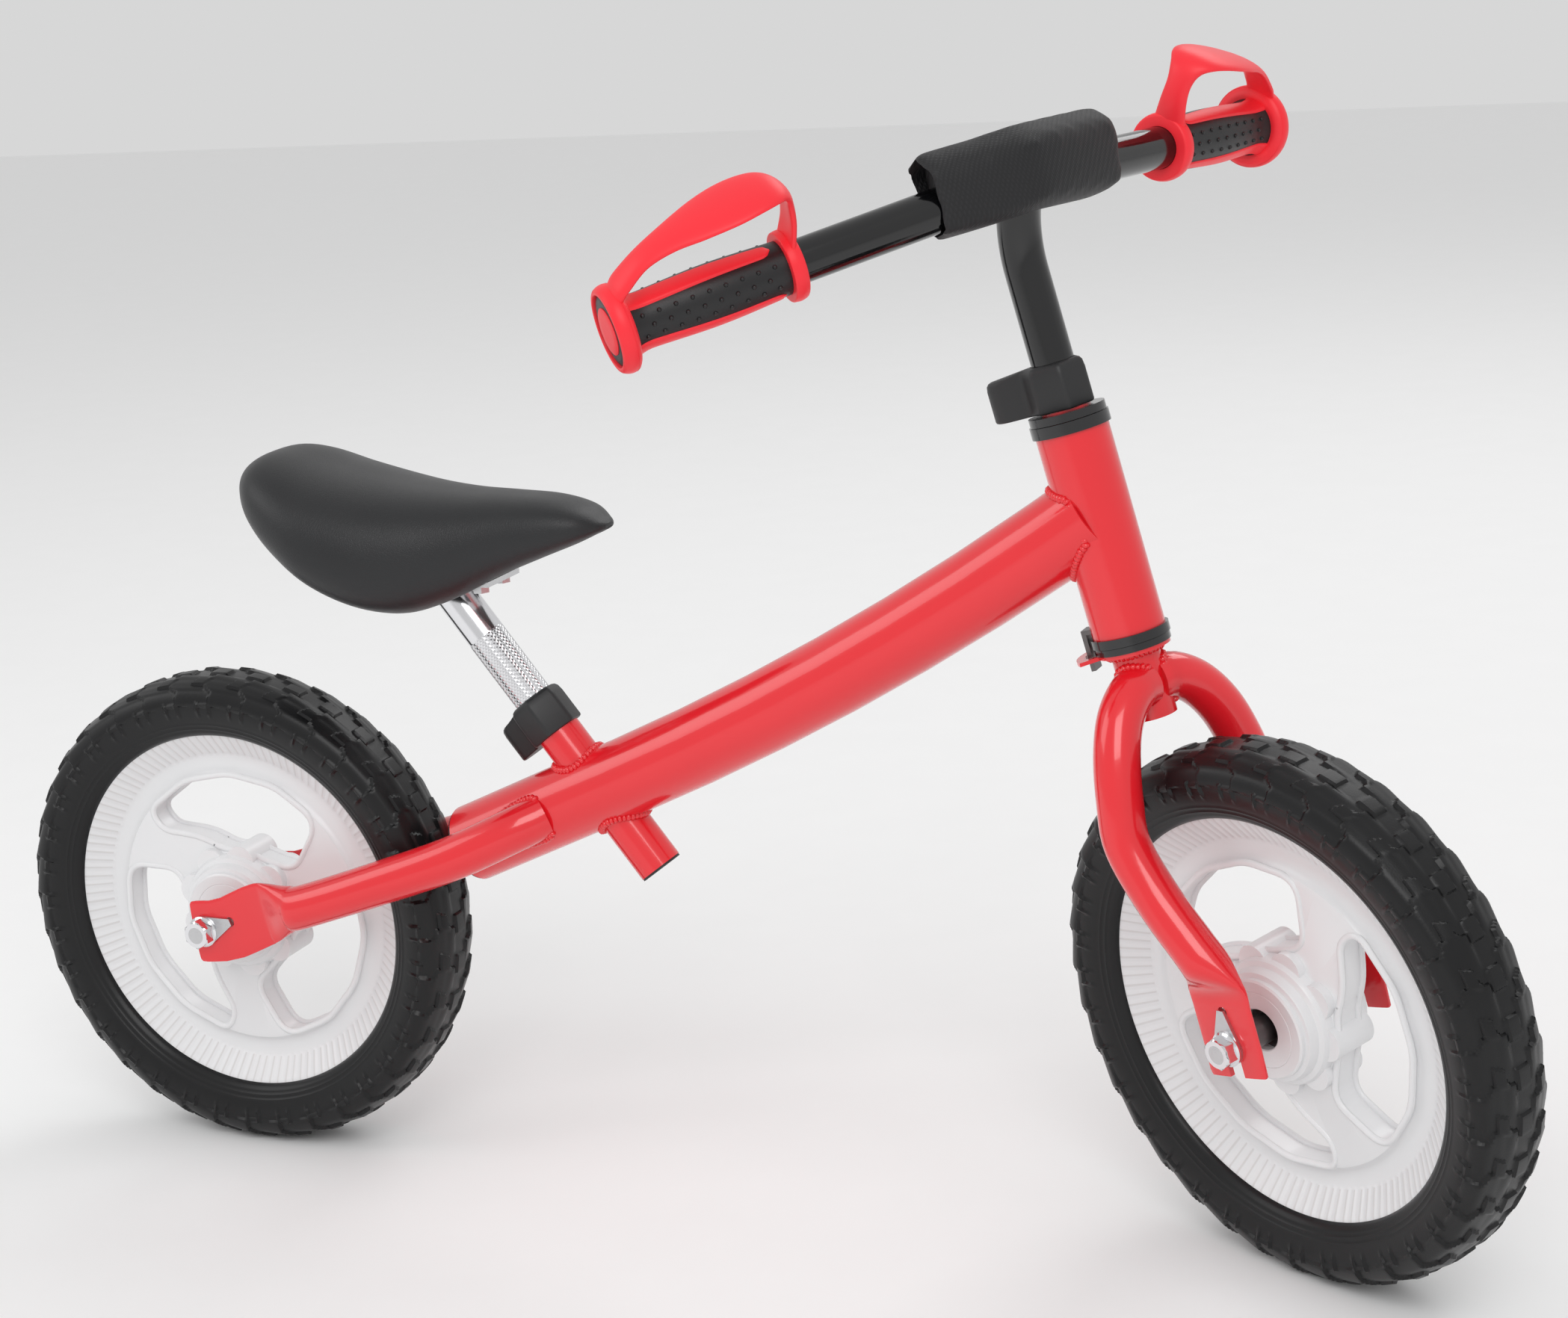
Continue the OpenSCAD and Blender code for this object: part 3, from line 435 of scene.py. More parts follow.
# ---- Fork: a steerer tube with a stop plate and two bent steel legs welded on, the legs
# pressed flat at the axle. It is coated in the frame's red after welding.
LEG_R = 12.0
CROWN_UP = 184.0
fork_z = steer_way
fork_y = Vector(joint["front_wheel_spin"]["axis"])
fork_x = fork_y.cross(fork_z)
fork_place = Matrix.Translation(steer_foot) @ Matrix((fork_x, fork_y, fork_z)).transposed().to_4x4()
front_hub = Vector(joint["front_wheel_spin"]["pos_m"])
front_place = Matrix.Translation(front_hub) @ Matrix((fork_x, fork_y, fork_z)).transposed().to_4x4()
OFFSET = 42.0
coat_node(red_paint, "steerer", "stop_plate")
leg_line = []
for side, word in ((1, "left"), (-1, "right")):
    out, r = DROP_Y + 2, LEG_R
    bend = flow([
        [4, side * 4, CROWN_UP - 6.5, r, r], [6, side * 15, CROWN_UP - 7.5, r, r],
        [7.5, side * (out - 20), CROWN_UP - 17, r, r], [9, side * (out - 10), CROWN_UP - 33, r, r],
        [9.5, side * (out - 3.5), CROWN_UP - 54, r, r], [10, side * out, 0.58 * CROWN_UP, r, r],
        [OFFSET - 20, side * out, 0.42 * CROWN_UP, r, r],
        [OFFSET - 5, side * out, 0.29 * CROWN_UP, r, r],
        [OFFSET, side * (out - 1), 0.23 * CROWN_UP, r - 1.5, r + 2],
        [OFFSET + 1, side * DROP_Y, 0.165 * CROWN_UP, PLATE_T + 0.6, PLATE_H + 1],
        [OFFSET + 1, side * DROP_Y, 0.12 * CROWN_UP, PLATE_T, PLATE_H + 1]], 6)
    end = [[OFFSET + 0.8, side * DROP_Y, 0, PLATE_T, 20],
           [OFFSET, side * DROP_Y, -14, PLATE_T, 20], [OFFSET, side * DROP_Y, -16, PLATE_T, 19]]
    rings = pressed_rings(np.concatenate([bend, np.array(end, float)]))
    leg_line.append(seam(rings, lambda p: math.hypot(p[0], p[1]) - 13.1))
    leg = solid("fork_leg_" + word, [skin_of(rings)], fork_place)
    cut_dropout(leg, front_place, side * DROP_Y,
                [(-SLOT_R, -40), (-SLOT_R, 0), (SLOT_R, 0), (SLOT_R, -40)], hole_at=84)
    dress(leg, red_paint, "fork", "frame_red", "fork_leg_" + word)


def circle(radius, height, sides, z_up=False):
    """A ring of points round Y, or round Z."""
    f = np.linspace(0, 2 * np.pi, sides, endpoint=False)
    ring = [radius * np.cos(f), np.full(sides, height), radius * np.sin(f)]
    return np.stack([ring[0], ring[2], ring[1]] if z_up else ring, 1)


weld("fork_welds", leg_line + [circle(13.6, CROWN_UP + 11, 40, z_up=True)], fork_place, "fork")

# ---- Rims: one-piece moulded white plastic wheels with three swirled windows, a raised lip
# round each, a tapered band with fine moulding lines, and a lobed hub.
WEB = 8.0
HUB_R = 34.0


def loop_of(rings):
    """Points and faces of a skin over equal rings whose last ring joins the first."""
    m, n = rings.shape[:2]
    return rings.reshape(-1, 3), ring_faces(m, n, 0, m)


def turned(profile, steps=180):
    """Points and faces of a closed outline of [radius, height] turned about Y."""
    return loop_of(np.array([circle(r, h, steps) for r, h in profile]))


def eased(corners, steps=6):
    """A closed outline whose [x, y, rounding] corners are eased into short curves."""
    out = []
    for i, (x, y, r) in enumerate(corners):
        p = np.array([x, y])
        a, b = np.array(corners[i - 1][:2]), np.array(corners[(i + 1) % len(corners)][:2])
        ua, ub = (a - p) / np.linalg.norm(a - p), (b - p) / np.linalg.norm(b - p)
        for k in range(steps + 1):
            s = k / steps
            out.append(p + ua * r * (1 - s) ** 2 + ub * r * s * s)
    return np.array(out)


WINDOW = [(83, 44, 13), (84, 68, 8), (84, 90, 8), (84, 112, 8), (83, 136, 9), (68, 138, 6),
          (HUB_R + 15, 118, 10), (HUB_R + 3, 103, 7), (HUB_R + 3, 80, 7), (HUB_R + 3, 58, 7),
          (HUB_R + 14, 33, 10)]
window = eased([(r * math.cos(math.radians(a)), r * math.sin(math.radians(a)), e) for r, a, e in WINDOW])


def spun(points, turn):
    c, s = math.cos(turn), math.sin(turn)
    return np.stack([points[:, 0] * c - points[:, 1] * s, points[:, 0] * s + points[:, 1] * c], 1)


def lip(outline, y, radius, sides=10):
    """A round bead that follows a closed outline at height y; a closed ring of rings."""
    n = len(outline)
    ahead, behind = np.roll(outline, -1, 0), np.roll(outline, 1, 0)
    way = ahead - behind
    way /= np.linalg.norm(way, axis=1)[:, None]
    normal = np.stack([-way[:, 1], way[:, 0]], 1)
    f = np.linspace(0, 2 * np.pi, sides, endpoint=False)
    rings = [[[outline[i][0] + radius * c * normal[i][0], y + radius * 0.9 * s,
               outline[i][1] + radius * c * normal[i][1]] for c, s in zip(np.cos(f), np.sin(f))]
             for i in range(n)]
    return loop_of(np.array(rings))


def moulded_white():
    """Satin white plastic; its band carries fine moulding lines that run outward, painted darker grey in
    their grooves as painted shade.
    """
    m = finish("white_wheel_plastic", (0.80, 0.80, 0.81), 0.30, grain=0.03, mottle=0.02, coat=0.1)
    t = m.node_tree
    shader = t.nodes["Principled BSDF"]
    polar = wire(t, "ShaderNodeUVMap", {}, uv_map="round")
    apart = wire(t, "ShaderNodeSeparateXYZ", {"Vector": polar})
    lines = wire(t, "ShaderNodeTexWave", {"Vector": polar, "Scale": 0.6, "Distortion": 1.2,
                                          "Detail Scale": 2}, bands_direction="X")
    band = wire(t, "ShaderNodeMapRange",
                {"Value": apart.outputs["Y"], "From Min": 0.94, "From Max": 0.96})
    depth = wire(t, "ShaderNodeMath", {0: lines.outputs["Fac"], 1: band}, operation="MULTIPLY")
    groove = wire(t, "ShaderNodeBump", {"Height": depth, "Normal": t.nodes["Bump"], "Strength": 0.6,
                                        "Distance": 0.0006})
    t.links.new(groove.outputs["Normal"], shader.inputs["Normal"])
    # Painted shade: the deep parts of the moulding lines are mixed towards grey in the base colour.
    thin = wire(t, "ShaderNodeMapRange", {"Value": depth, "From Min": 0.80, "To Max": 0.5})
    shade = wire(t, "ShaderNodeMix", {"Factor": thin, "A": t.nodes["Mix"], "B": (0.56, 0.53, 0.52, 1)},
                 data_type="RGBA")
    t.links.new(shade.outputs["Result"], shader.inputs["Base Color"])
    return m


def half_rim():
    return [(13, 22), (27, 22), (29.5, 21.4), (30.5, 19), (31, 16.5), (33.5, 15.5), (34.6, 13.5),
            (35.2, WEB + 0.8), (36.5, WEB), (80, WEB), (82.5, WEB - 0.6), (84, 5.4), (86, 4.4),
            (94.5, 4.2), (96, 4.9), (107.6, 13.8), (109, 14.5), (112.5, 14.5), (118, 8.5)]


white = moulded_white()
for word, place, spin in (("rear", rear_place, 0.0), ("front", front_place, math.radians(20))):
    side = half_rim()
    parts = [turned([(r, -y) for r, y in side] + side[::-1], 240)]
    rim = solid(word + "_rim", parts)
    holes = []
    for k in range(3):
        edge = spun(window, spin + k * 2 * math.pi / 3)
        rings = np.array([[[x, y, z] for x, z in edge] for y in (-30, 30)])
        holes.append(solid("window", [skin_of(rings)]))
    carve(rim, *holes)
    trim = []
    for k in range(3):
        edge = spun(window, spin + k * 2 * math.pi / 3)
        for y in (WEB - 0.6, 0.6 - WEB):
            trim.append(lip(edge, y, 1.9))
    for k in range(9):
        f = spin + 2 * math.pi * k / 9
        a = (31.5 * math.cos(f), -WEB - 5, 31.5 * math.sin(f))
        b = (31.5 * math.cos(f), WEB + 5, 31.5 * math.sin(f))
        trim.append(rod(a, b, 9.5, 48))
    lips = solid(word + "_lips", trim)
    join = bmesh.new()
    join.from_mesh(rim.data)
    join.from_mesh(lips.data)
    join.to_mesh(rim.data)
    join.free()
    bpy.data.objects.remove(lips)
    polar = rim.data.uv_layers.new(name="round")
    spots = np.empty(len(rim.data.vertices) * 3)
    rim.data.vertices.foreach_get("co", spots)
    spots = spots.reshape(-1, 3)
    of_loop = np.empty(len(rim.data.loops), int)
    rim.data.loops.foreach_get("vertex_index", of_loop)
    f = np.arctan2(spots[of_loop, 2], spots[of_loop, 0])
    far = np.hypot(spots[of_loop, 0], spots[of_loop, 2]) * 10
    first = np.array([p.loop_start for p in rim.data.polygons])
    count = np.array([p.loop_total for p in rim.data.polygons])
    base = np.repeat(f[first], count)
    f = base + (f - base + np.pi) % (2 * np.pi) - np.pi
    polar.data.foreach_set("uv", np.stack([f * 10, far], 1).ravel())
    rim.data.transform(place)
    crisp(rim, 38)
    dress(rim, white, word + "_wheel", "white_plastic", word + "_rim")
    cap = [(11, 21.5), (11, 24.4), (11.6, 25), (20.2, 25), (20.5, 24.7), (20.8, 25), (26, 25), (27, 24.2),
           (27, 21.5)]
    caps = solid(word + "_hub_caps", [turned(cap, 96), turned([(r, -y) for r, y in cap], 96)], place)
    dress(caps, white, word + "_wheel", "white_plastic", word + "_hub_caps")
    coat_node(dark_zinc, word + "_bearings", word + "_hub_sleeve", word + "_spacers")
    coat_node(zinc, word + "_axle", word + "_tab_washers")

# ---- Tyres: closed-cell foam rings stretched over the rims, moulded in one piece with a smooth
# satin skin. One tread pitch is modelled and laid 36 times round the wheel.
PITCHES = 36
tyre_side = [(109.2, 14.4), (110.4, 17.0), (113, 19.0), (116.5, 20.6), (121, 22.4), (126, 23.6),
             (130, 23.7), (134.5, 22.6), (138.6, 20.0), (140.6, 16.2), (142.2, 12), (143.0, 6.5),
             (143.2, 0)]


def sawtooth(x, a):
    """Slabs that rise along the tread and step down at a zigzag edge."""
    zig = np.interp(a, [6, 9, 12.5, 16, 19, 22.5, 26, 30], [0, 0, 5.5, 2.0, 2.0, -4.5, -3.5, -3.5])
    u = ((x - zig) / PITCH_LENGTH) % 1.0
    rise = np.clip(u / 0.9, 0, 1) ** 1.5
    fall = np.clip((1 - u) / 0.045, 0, 1)
    fade = np.clip((a - 5) / 1.2, 0, 1) * np.clip((31 - a) / 1.2, 0, 1)
    return 1.7 * rise * fall * fade


def block(x, a, cx, ca, half_x, half_a, lean=0.0, edge=0.8):
    """A raised block with sloped sides on the unrolled tread."""
    dx = np.abs(((x - cx - lean * (a - ca) + PITCH_LENGTH / 2) % PITCH_LENGTH) - PITCH_LENGTH / 2)
    return np.clip((half_x - dx) / edge, 0, 1) * np.clip((half_a - np.abs(a - ca)) / edge, 0, 1)


PITCH_LENGTH = 2 * math.pi * 140 / PITCHES


def tread_height(x, a, left):
    x = x + (PITCH_LENGTH / 2 if left else 0)
    a = np.abs(a)
    h = sawtooth(x, a)
    h = np.maximum(h, 1.9 * block(x, a, 4.5, 14.2, 5.2, 3.6, 0.5))
    h = np.maximum(h, 1.1 * block(x, a, -8.0, 22.5, 4.0, 2.6, -0.6))
    for cx in (-4.4, 4.4):
        wedge = np.clip((38.5 - a) / 7, 0, 1) * np.clip((a - 28) / 1.0, 0, 1)
        h = np.maximum(h, 1.5 * wedge * block(x, a, cx, 33, 1.3, 6.5, 0.0, 0.9))
    h = np.maximum(h, 1.2 * block(x, a, 0, 30.2, 4.8, 1.4))
    for ring_at in (43.5, 46.2, 48.9):
        h = np.maximum(h, 0.45 * np.clip(1 - np.abs(a - ring_at) / 0.8, 0, 1))
    return h


def tyre_pitch():
    """One pitch of the tyre, open at both ends, as points and faces in millimetres."""
    side = np.array(tyre_side)
    whole = np.concatenate([side, side[:-1][::-1] * [1, -1]])
    smooth = flow(whole, 6)
    step = np.r_[0, np.cumsum(np.linalg.norm(np.diff(smooth, axis=0), axis=1))]
    even = np.linspace(0, step[-1], 108)
    line = np.stack([np.interp(even, step, smooth[:, i]) for i in (0, 1)], 1)
    a = even - step[-1] / 2
    tangent = np.gradient(line, axis=0)
    normal = np.stack([-tangent[:, 1], tangent[:, 0]], 1)
    normal /= np.linalg.norm(normal, axis=1)[:, None]
    normal *= np.sign((normal[:, 0] + 1e-9) * (line[:, 0] - 125) + normal[:, 1] * line[:, 1])[:, None]
    steps = 24
    columns = []
    inner = [(109.2, -14.4), (113, -14.4), (118, -8.4), (118, 8.4), (113, 14.4)]
    for k in range(steps + 1):
        x = (k / steps - 0.5) * PITCH_LENGTH
        f = (k / steps - 0.5) * 2 * math.pi / PITCHES
        height = np.where(line[:, 1] > 0, tread_height(x, a, True), tread_height(x, a, False))
        hexes = 1.8 * block(x, a, 0, 0, 6.2, 5.0, 0.0, 1.2)
        height = np.maximum(height, hexes * np.clip((9.5 - np.abs(x) - 0.8 * np.abs(a)) / 1.5, 0, 1))
        height = height * np.clip(1 - np.maximum(0, line[:, 0] + height - 146.5), 0, 1)
        p = line + normal * height[:, None]
        p = np.concatenate([p, np.array(inner)[1:]])
        columns.append(np.stack([p[:, 0] * math.cos(f), p[:, 1], p[:, 0] * math.sin(f)], 1))
    columns = np.array(columns)
    return columns.reshape(-1, 3), ring_faces(*columns.shape[:2], 0, steps)


def ring_tree(count, material):
    """A tree that lays a piece round the Y axis and joins the copies into one skin."""
    g, start = new_tree("laid_round", "NodeSocketInt", {"Copies": count})
    spots = wire(g, "GeometryNodePoints", {"Count": start["Copies"]})
    number = wire(g, "GeometryNodeInputIndex", {})
    share = wire(g, "ShaderNodeMath", {0: number, 1: start["Copies"]}, operation="DIVIDE")
    angle = wire(g, "ShaderNodeMath", {0: share, 1: 2 * math.pi}, operation="MULTIPLY")
    spin = wire(g, "ShaderNodeCombineXYZ", {"Y": angle})
    to_turn = wire(g, "FunctionNodeEulerToRotation", {"Euler": spin})
    lay = wire(g, "GeometryNodeInstanceOnPoints", {"Points": spots, "Instance": start["Geometry"],
                                                   "Rotation": to_turn})
    real = wire(g, "GeometryNodeRealizeInstances", {"Geometry": lay})
    fuse = wire(g, "GeometryNodeMergeByDistance", {"Geometry": real, "Distance": 2e-5})
    return close_tree(g, fuse, material)


foam_skin = finish("foam_tyre_skin", (0.006, 0.006, 0.0066), 0.34, grain=0.18, grain_size=0.0009,
                   mottle=0.18, mottle_size=0.03, rough_drift=0.08, specular=0.34)
laid_round = ring_tree(PITCHES, foam_skin)


def grow(thing, tree, sizes):
    """The plain mesh that a tree makes of the thing."""
    set_tree(thing, tree, sizes)
    return settle(thing)


for word, place in (("rear", rear_place), ("front", front_place)):
    points, faces = tyre_pitch()
    tyre = solid(word + "_tyre", [(points, faces)], smooth=0)
    grow(tyre, laid_round, {"Copies": PITCHES})
    face_out(tyre.data)
    tyre.data.transform(place)
    crisp(tyre, 32)
    dress(tyre, foam_skin, word + "_wheel", "tyre_foam", word + "_tyre")

# ---- Axle nuts: bright chromed 15 mm flange nuts with a chamfered crown, two on each axle,
# over pear-shaped tab washers whose bent tips sit in the dropouts' small holes.
NUT_ACROSS = 15.0
NUT_H = 8.0
chrome = finish("bright_chrome", (0.80, 0.80, 0.82), 0.15, metal=1.0, grain=0.02, mottle=0.03,
                rough_drift=0.03)


def flange_nut(side):
    """A hexagon cut by a cone at its crown, on a thin round flange, with the axle's domed end."""
    y0 = 47.5 + 1.8
    flats = []
    for h, grow in ((0, 1.0), (NUT_H - 1.3, 1.0), (NUT_H, 0.86)):
        ring = []
        for k in range(48):
            f = 2 * math.pi * k / 48
            hexagon = NUT_ACROSS / 2 / math.cos((f + math.pi / 6) % (math.pi / 3) - math.pi / 6)
            r = min(hexagon, NUT_ACROSS / 2 * 1.155 * grow) if grow < 1 else hexagon
            ring.append([r * math.cos(f), side * (y0 + h), r * math.sin(f)])
        flats.append(ring)
    flats.insert(2, [[p[0], side * (y0 + NUT_H - 0.7), p[2]] for p in flats[1]])
    flange = [(5.1, 0), (9.2, 0), (9.3, 0.9), (8.2, 1.7), (5.1, 1.7)]
    disc = turned([(r, side * (y0 + h)) for r, h in flange], 48)
    stud = [(0.01, NUT_H + 0.6), (3.2, NUT_H + 0.5), (4.7, NUT_H - 0.3), (4.9, NUT_H - 1.4),
            (0.01, NUT_H - 1.4)]
    return [skin_of(np.array(flats)), disc, turned([(r, side * (y0 + h - 0.62)) for r, h in stud], 48)]


for word, place, body in (("rear", rear_place, "frame"), ("front", front_place, "fork")):
    nuts = solid(word + "_axle_nuts", flange_nut(1) + flange_nut(-1), place, smooth=30)
    dress(nuts, chrome, body, "chrome", word + "_axle_nuts")

# ---- Clamp knobs: moulded black thumb nuts with a hexagonal body and one long wing, threaded
# onto the slotted tube ends so that they squeeze the post or the stem.
KNOB_H = 24.0
KNOB_R = 16.5
WING = 40.0
SEAT_KNOB_UP = 39.5
BAR_KNOB_UP = 323.5
matt_black = finish("black_moulded_plastic", (0.016, 0.016, 0.017), 0.46, grain=0.25, grain_size=0.0007,
                    mottle=0.1, mottle_size=0.01)


def knob_parts():
    c = KNOB_R * math.cos(math.radians(30))
    body = eased([(-KNOB_R / 2, -c, 2), (6, -c, 5), (WING - 4, -10, 6), (WING, 1, 5), (WING - 8, 7, 4),
                  (KNOB_R, 6, 3), (KNOB_R / 2, c, 2), (-KNOB_R / 2, c, 2), (-KNOB_R, 0, 2)], 5)
    f = np.arctan2(body[:, 1], body[:, 0])
    hole = 11.4
    rings = []
    for z, shrink in ((0.0, 1.2), (0.4, 0.35), (1.2, 0.0), (KNOB_H - 6, 0.0), (KNOB_H - 2.4, 0.5),
                      (KNOB_H - 0.8, 1.6), (KNOB_H, 3.2)):
        way = body / np.linalg.norm(body, axis=1)[:, None]
        spread = body - way * shrink
        top = np.full(len(body), z)
        far = np.clip((np.linalg.norm(body, axis=1) - 17) / 12, 0, 1)
        top = top - far * np.clip((z - 12) / 12, 0, 1) * 2.5
        rings.append(np.column_stack([spread, top]))
    for radius, z in ((hole * 1.05, KNOB_H), (hole, KNOB_H - 1), (hole, 1), (12.8, 0)):
        rings.append(np.column_stack([radius * np.cos(f), radius * np.sin(f), np.full(len(f), z)]))
    return [loop_of(np.array(rings))]


seat_way = Vector(joint["seat_knob_turn"]["axis"])
seat_axes = Matrix((Vector((0, 1, 0)).cross(seat_way), Vector((0, 1, 0)), seat_way)).transposed()
seat_place = Matrix.Translation(Vector(joint["seat_knob_turn"]["pos_m"])) @ seat_axes.to_4x4()
for word, place, up, wing_at in (("seat_knob", seat_place, SEAT_KNOB_UP, 162),
                                 ("bar_knob", fork_place, BAR_KNOB_UP, 207)):
    knob = solid(word, knob_parts(), place @ Matrix.Translation((0, 0, up / 1000))
                 @ Matrix.Rotation(math.radians(wing_at), 4, "Z"), smooth=30)
    dress(knob, matt_black, word, "black_plastic", word)

# ---- Seat post and bracket: a chromed steel tube with a rolled diamond knurl on its lower
# stretch, so that the clamp grips it, and a pressed, zinc-plated plate under the saddle.
POST_R = 11.1


def folded(tree, across, along, repeats):
    """Two crossing families of sloping ridges, each rising and falling from 0 to 0.5."""
    ways = []
    for sign, each in zip((1, -1), repeats):
        mixed = wire(tree, "ShaderNodeMath", {0: across, 1: sign, 2: along}, operation="MULTIPLY_ADD")
        sized = wire(tree, "ShaderNodeMath", {0: mixed, 1: each}, operation="MULTIPLY")
        ways.append(wire(tree, "ShaderNodeMath", {0: sized, 1: 0.5}, operation="PINGPONG"))
    return ways


def knurled(base):
    """The chrome with a rolled diamond pattern below a height given by the piece's own map."""
    m = base.copy()
    m.name = "knurled_chrome"
    t = m.node_tree
    spread = wire(t, "ShaderNodeUVMap", {}, uv_map="rolled")
    apart = wire(t, "ShaderNodeSeparateXYZ", {"Vector": spread}).outputs
    ridge = folded(t, apart["X"], apart["Y"], (1, 1))
    least = wire(t, "ShaderNodeMath", {0: ridge[0], 1: ridge[1]}, operation="MINIMUM")
    reach = wire(t, "ShaderNodeMapRange", {"Value": apart["Y"], "From Min": 40.5, "From Max": 40.0})
    depth = wire(t, "ShaderNodeMath", {0: least, 1: reach}, operation="MULTIPLY")
    knurl = wire(t, "ShaderNodeBump", {"Height": depth, "Strength": 0.9, "Distance": 0.0007})
    t.links.new(knurl.outputs["Normal"], t.nodes["Principled BSDF"].inputs["Normal"])
    return m


BRACKET_UP = 147.5
tube = [(POST_R, z) for z in (-5, 20, 50, 60, 70, 80, 90, 100, 110, 120, 130, 140, 143)]
f = np.linspace(0, 2 * np.pi, 64, endpoint=False)
rings = [circle(r, z, 64, z_up=True) for r, z in [(9.6, -4), (9.6, -5)] + tube]
slope = math.tan(math.radians(37))
rings.append(np.stack([POST_R * np.cos(f), POST_R * np.sin(f),
                       BRACKET_UP - slope * POST_R * np.cos(f)], 1))
seat_post = solid("seat_post", [skin_of(np.array(rings))], None, smooth=40)
rolled = seat_post.data.uv_layers.new(name="rolled")
for p in seat_post.data.polygons:
    base = None
    for li in p.loop_indices:
        x, y, z = seat_post.data.vertices[seat_post.data.loops[li].vertex_index].co
        a = math.atan2(y, x)
        base = a if base is None else base
        a = base + (a - base + math.pi) % (2 * math.pi) - math.pi
        rolled.data[li].uv = (a / (2 * math.pi) * 26, z * 1000 / 2.65)
seat_post.data.transform(seat_place)
dress(seat_post, knurled(chrome), "seat", "chrome", "seat_post")
coat_node(zinc, "saddle_bracket", "saddle_bolts")

# ---- Saddle: a plastic shell under moulded foam with one tight, leather-grained black skin.
# It is broad and crowned at the tail, dips in the middle and runs to a narrow, rounded nose.
SADDLE_L = 221.0
SADDLE_HALF = 59.0
SADDLE_MID = 0.44
SADDLE_BACK = 112.0
saddle_stations = [
    (0.00, 0.24, 59, 49), (0.008, 0.40, 64.5, 45), (0.02, 0.53, 69, 40), (0.07, 0.75, 73, 28),
    (0.14, 0.90, 71, 13), (0.24, 1.00, 64, -3), (0.36, 0.98, 58, -14), (0.48, 0.87, 53.5, -16),
    (0.60, 0.71, 51, -8), (0.72, 0.57, 50, 5), (0.84, 0.46, 48.5, 16), (0.93, 0.34, 44, 24),
    (0.98, 0.18, 37, 29.5), (0.995, 0.08, 34.5, 31.5)]


def saddle_skin():
    """Satin black skin with a fine leather grain pressed into it."""
    m = finish("saddle_skin", (0.010, 0.0105, 0.012), 0.40, grain=0.10, grain_size=0.0016, mottle=0.12,
               mottle_size=0.03)
    t = m.node_tree
    place = t.nodes["Texture Coordinate"].outputs["Object"]
    cells = wire(t, "ShaderNodeTexVoronoi", {"Vector": place, "Scale": 900}, feature="DISTANCE_TO_EDGE")
    crease = wire(t, "ShaderNodeMapRange", {"Value": cells, "From Max": 0.12})
    grain = wire(t, "ShaderNodeBump", {"Height": crease, "Normal": t.nodes["Bump"], "Strength": 0.22,
                                       "Distance": 0.00025})
    t.links.new(grain.outputs["Normal"], t.nodes["Principled BSDF"].inputs["Normal"])
    return m


rings = []
for s, half, top, bottom in flow(saddle_stations, 7):
    half = max(half, 0.05) * SADDLE_HALF
    mid = bottom + SADDLE_MID * (top - bottom)
    f = np.radians(np.linspace(-62, 242, 88))
    c, n = np.cos(f), np.sin(f)
    y = half * np.sign(c) * np.abs(c) ** 0.75
    z = mid + np.where(n > 0, top - mid, mid - bottom) * np.sign(n) * np.abs(n) ** 0.85
    edge = abs(y[0])
    roof = max(bottom + 4, min(4.5, top - 14)) if top - bottom > 30 else bottom + 0.3 * (top - bottom)
    y = np.r_[y, -edge * 0.93, -edge * 0.90, -edge * 0.5, 0, edge * 0.5, edge * 0.90, edge * 0.93]
    z = np.r_[z, z[-1] + 0.6, *[roof] * 5, z[0] + 0.6]
    x = s * SADDLE_L - SADDLE_BACK
    rings.append(np.stack([np.full(len(y), x), y, z], 1))
saddle_foot = seat_place @ Vector((0, 0, 0.1475))
saddle = solid("saddle", [skin_of(np.array(rings))], Matrix.Translation(saddle_foot), smooth=50)
dress(saddle, saddle_skin(), "seat", "saddle_skin", "saddle")

# ---- Stem and handlebar: one black-enamelled steel tube bent to a wide V and welded on the
# bent top of the stem, which slides in the fork's steerer.
BAR_FWD = 17.0
BAR_UP = 438.5
SKEW, PITCH, SWEEP = math.radians(3.5), math.radians(10), math.radians(17)
bar_paint = finish("black_bar_enamel", (0.003, 0.003, 0.0035), 0.13, coat=0.3, grain=0.03,
                   grain_size=0.003, mottle=0.1)
coat_node(bar_paint, "stem", "handlebar")
bar_place = (fork_place @ Matrix.Translation((BAR_FWD * math.cos(SKEW) / 1000,
                                              -BAR_FWD * math.sin(SKEW) / 1000, BAR_UP / 1000))
             @ Matrix.Rotation(-SKEW, 4, "Z") @ Matrix.Rotation(-PITCH, 4, "Y"))
half_place = {side: bar_place @ Matrix.Rotation(side * SWEEP, 4, "Z")
              @ Matrix.Rotation(-side * math.pi / 2, 4, "X")
              @ Matrix.Rotation(-side * math.pi / 2, 4, "Z")
              for side in (1, -1)}

# ---- Bar pad: a foam core in a sleeve of black woven nylon, wrapped round the middle of the
# bar, stitched along its ends and left open there like a small tent.
PAD_RIGHT, PAD_LEFT = 51.0, 69.0
YARN = 0.0016
outline = eased([(-19, -14, 5), (10, -16, 5), (21, 15.5, 6), (7, 30, 5), (-13, 22.5, 6)], 5)


def pad_ring(place_along, grow=0.0, lift=0.0):
    """The pad's section at a distance along the bar, right of the middle below zero."""
    side = 1 if place_along >= 0 else -1
    reach = abs(place_along)
    o = outline * (1 + grow)
    mix = min(1, reach / 16)
    fwd, up = o[:, 0], o[:, 1] + lift
    c, s = math.cos(SWEEP), math.sin(SWEEP)
    x = fwd * c - reach * s
    y = side * (reach * c + fwd * s * mix)
    return np.stack([x, y, up], 1)


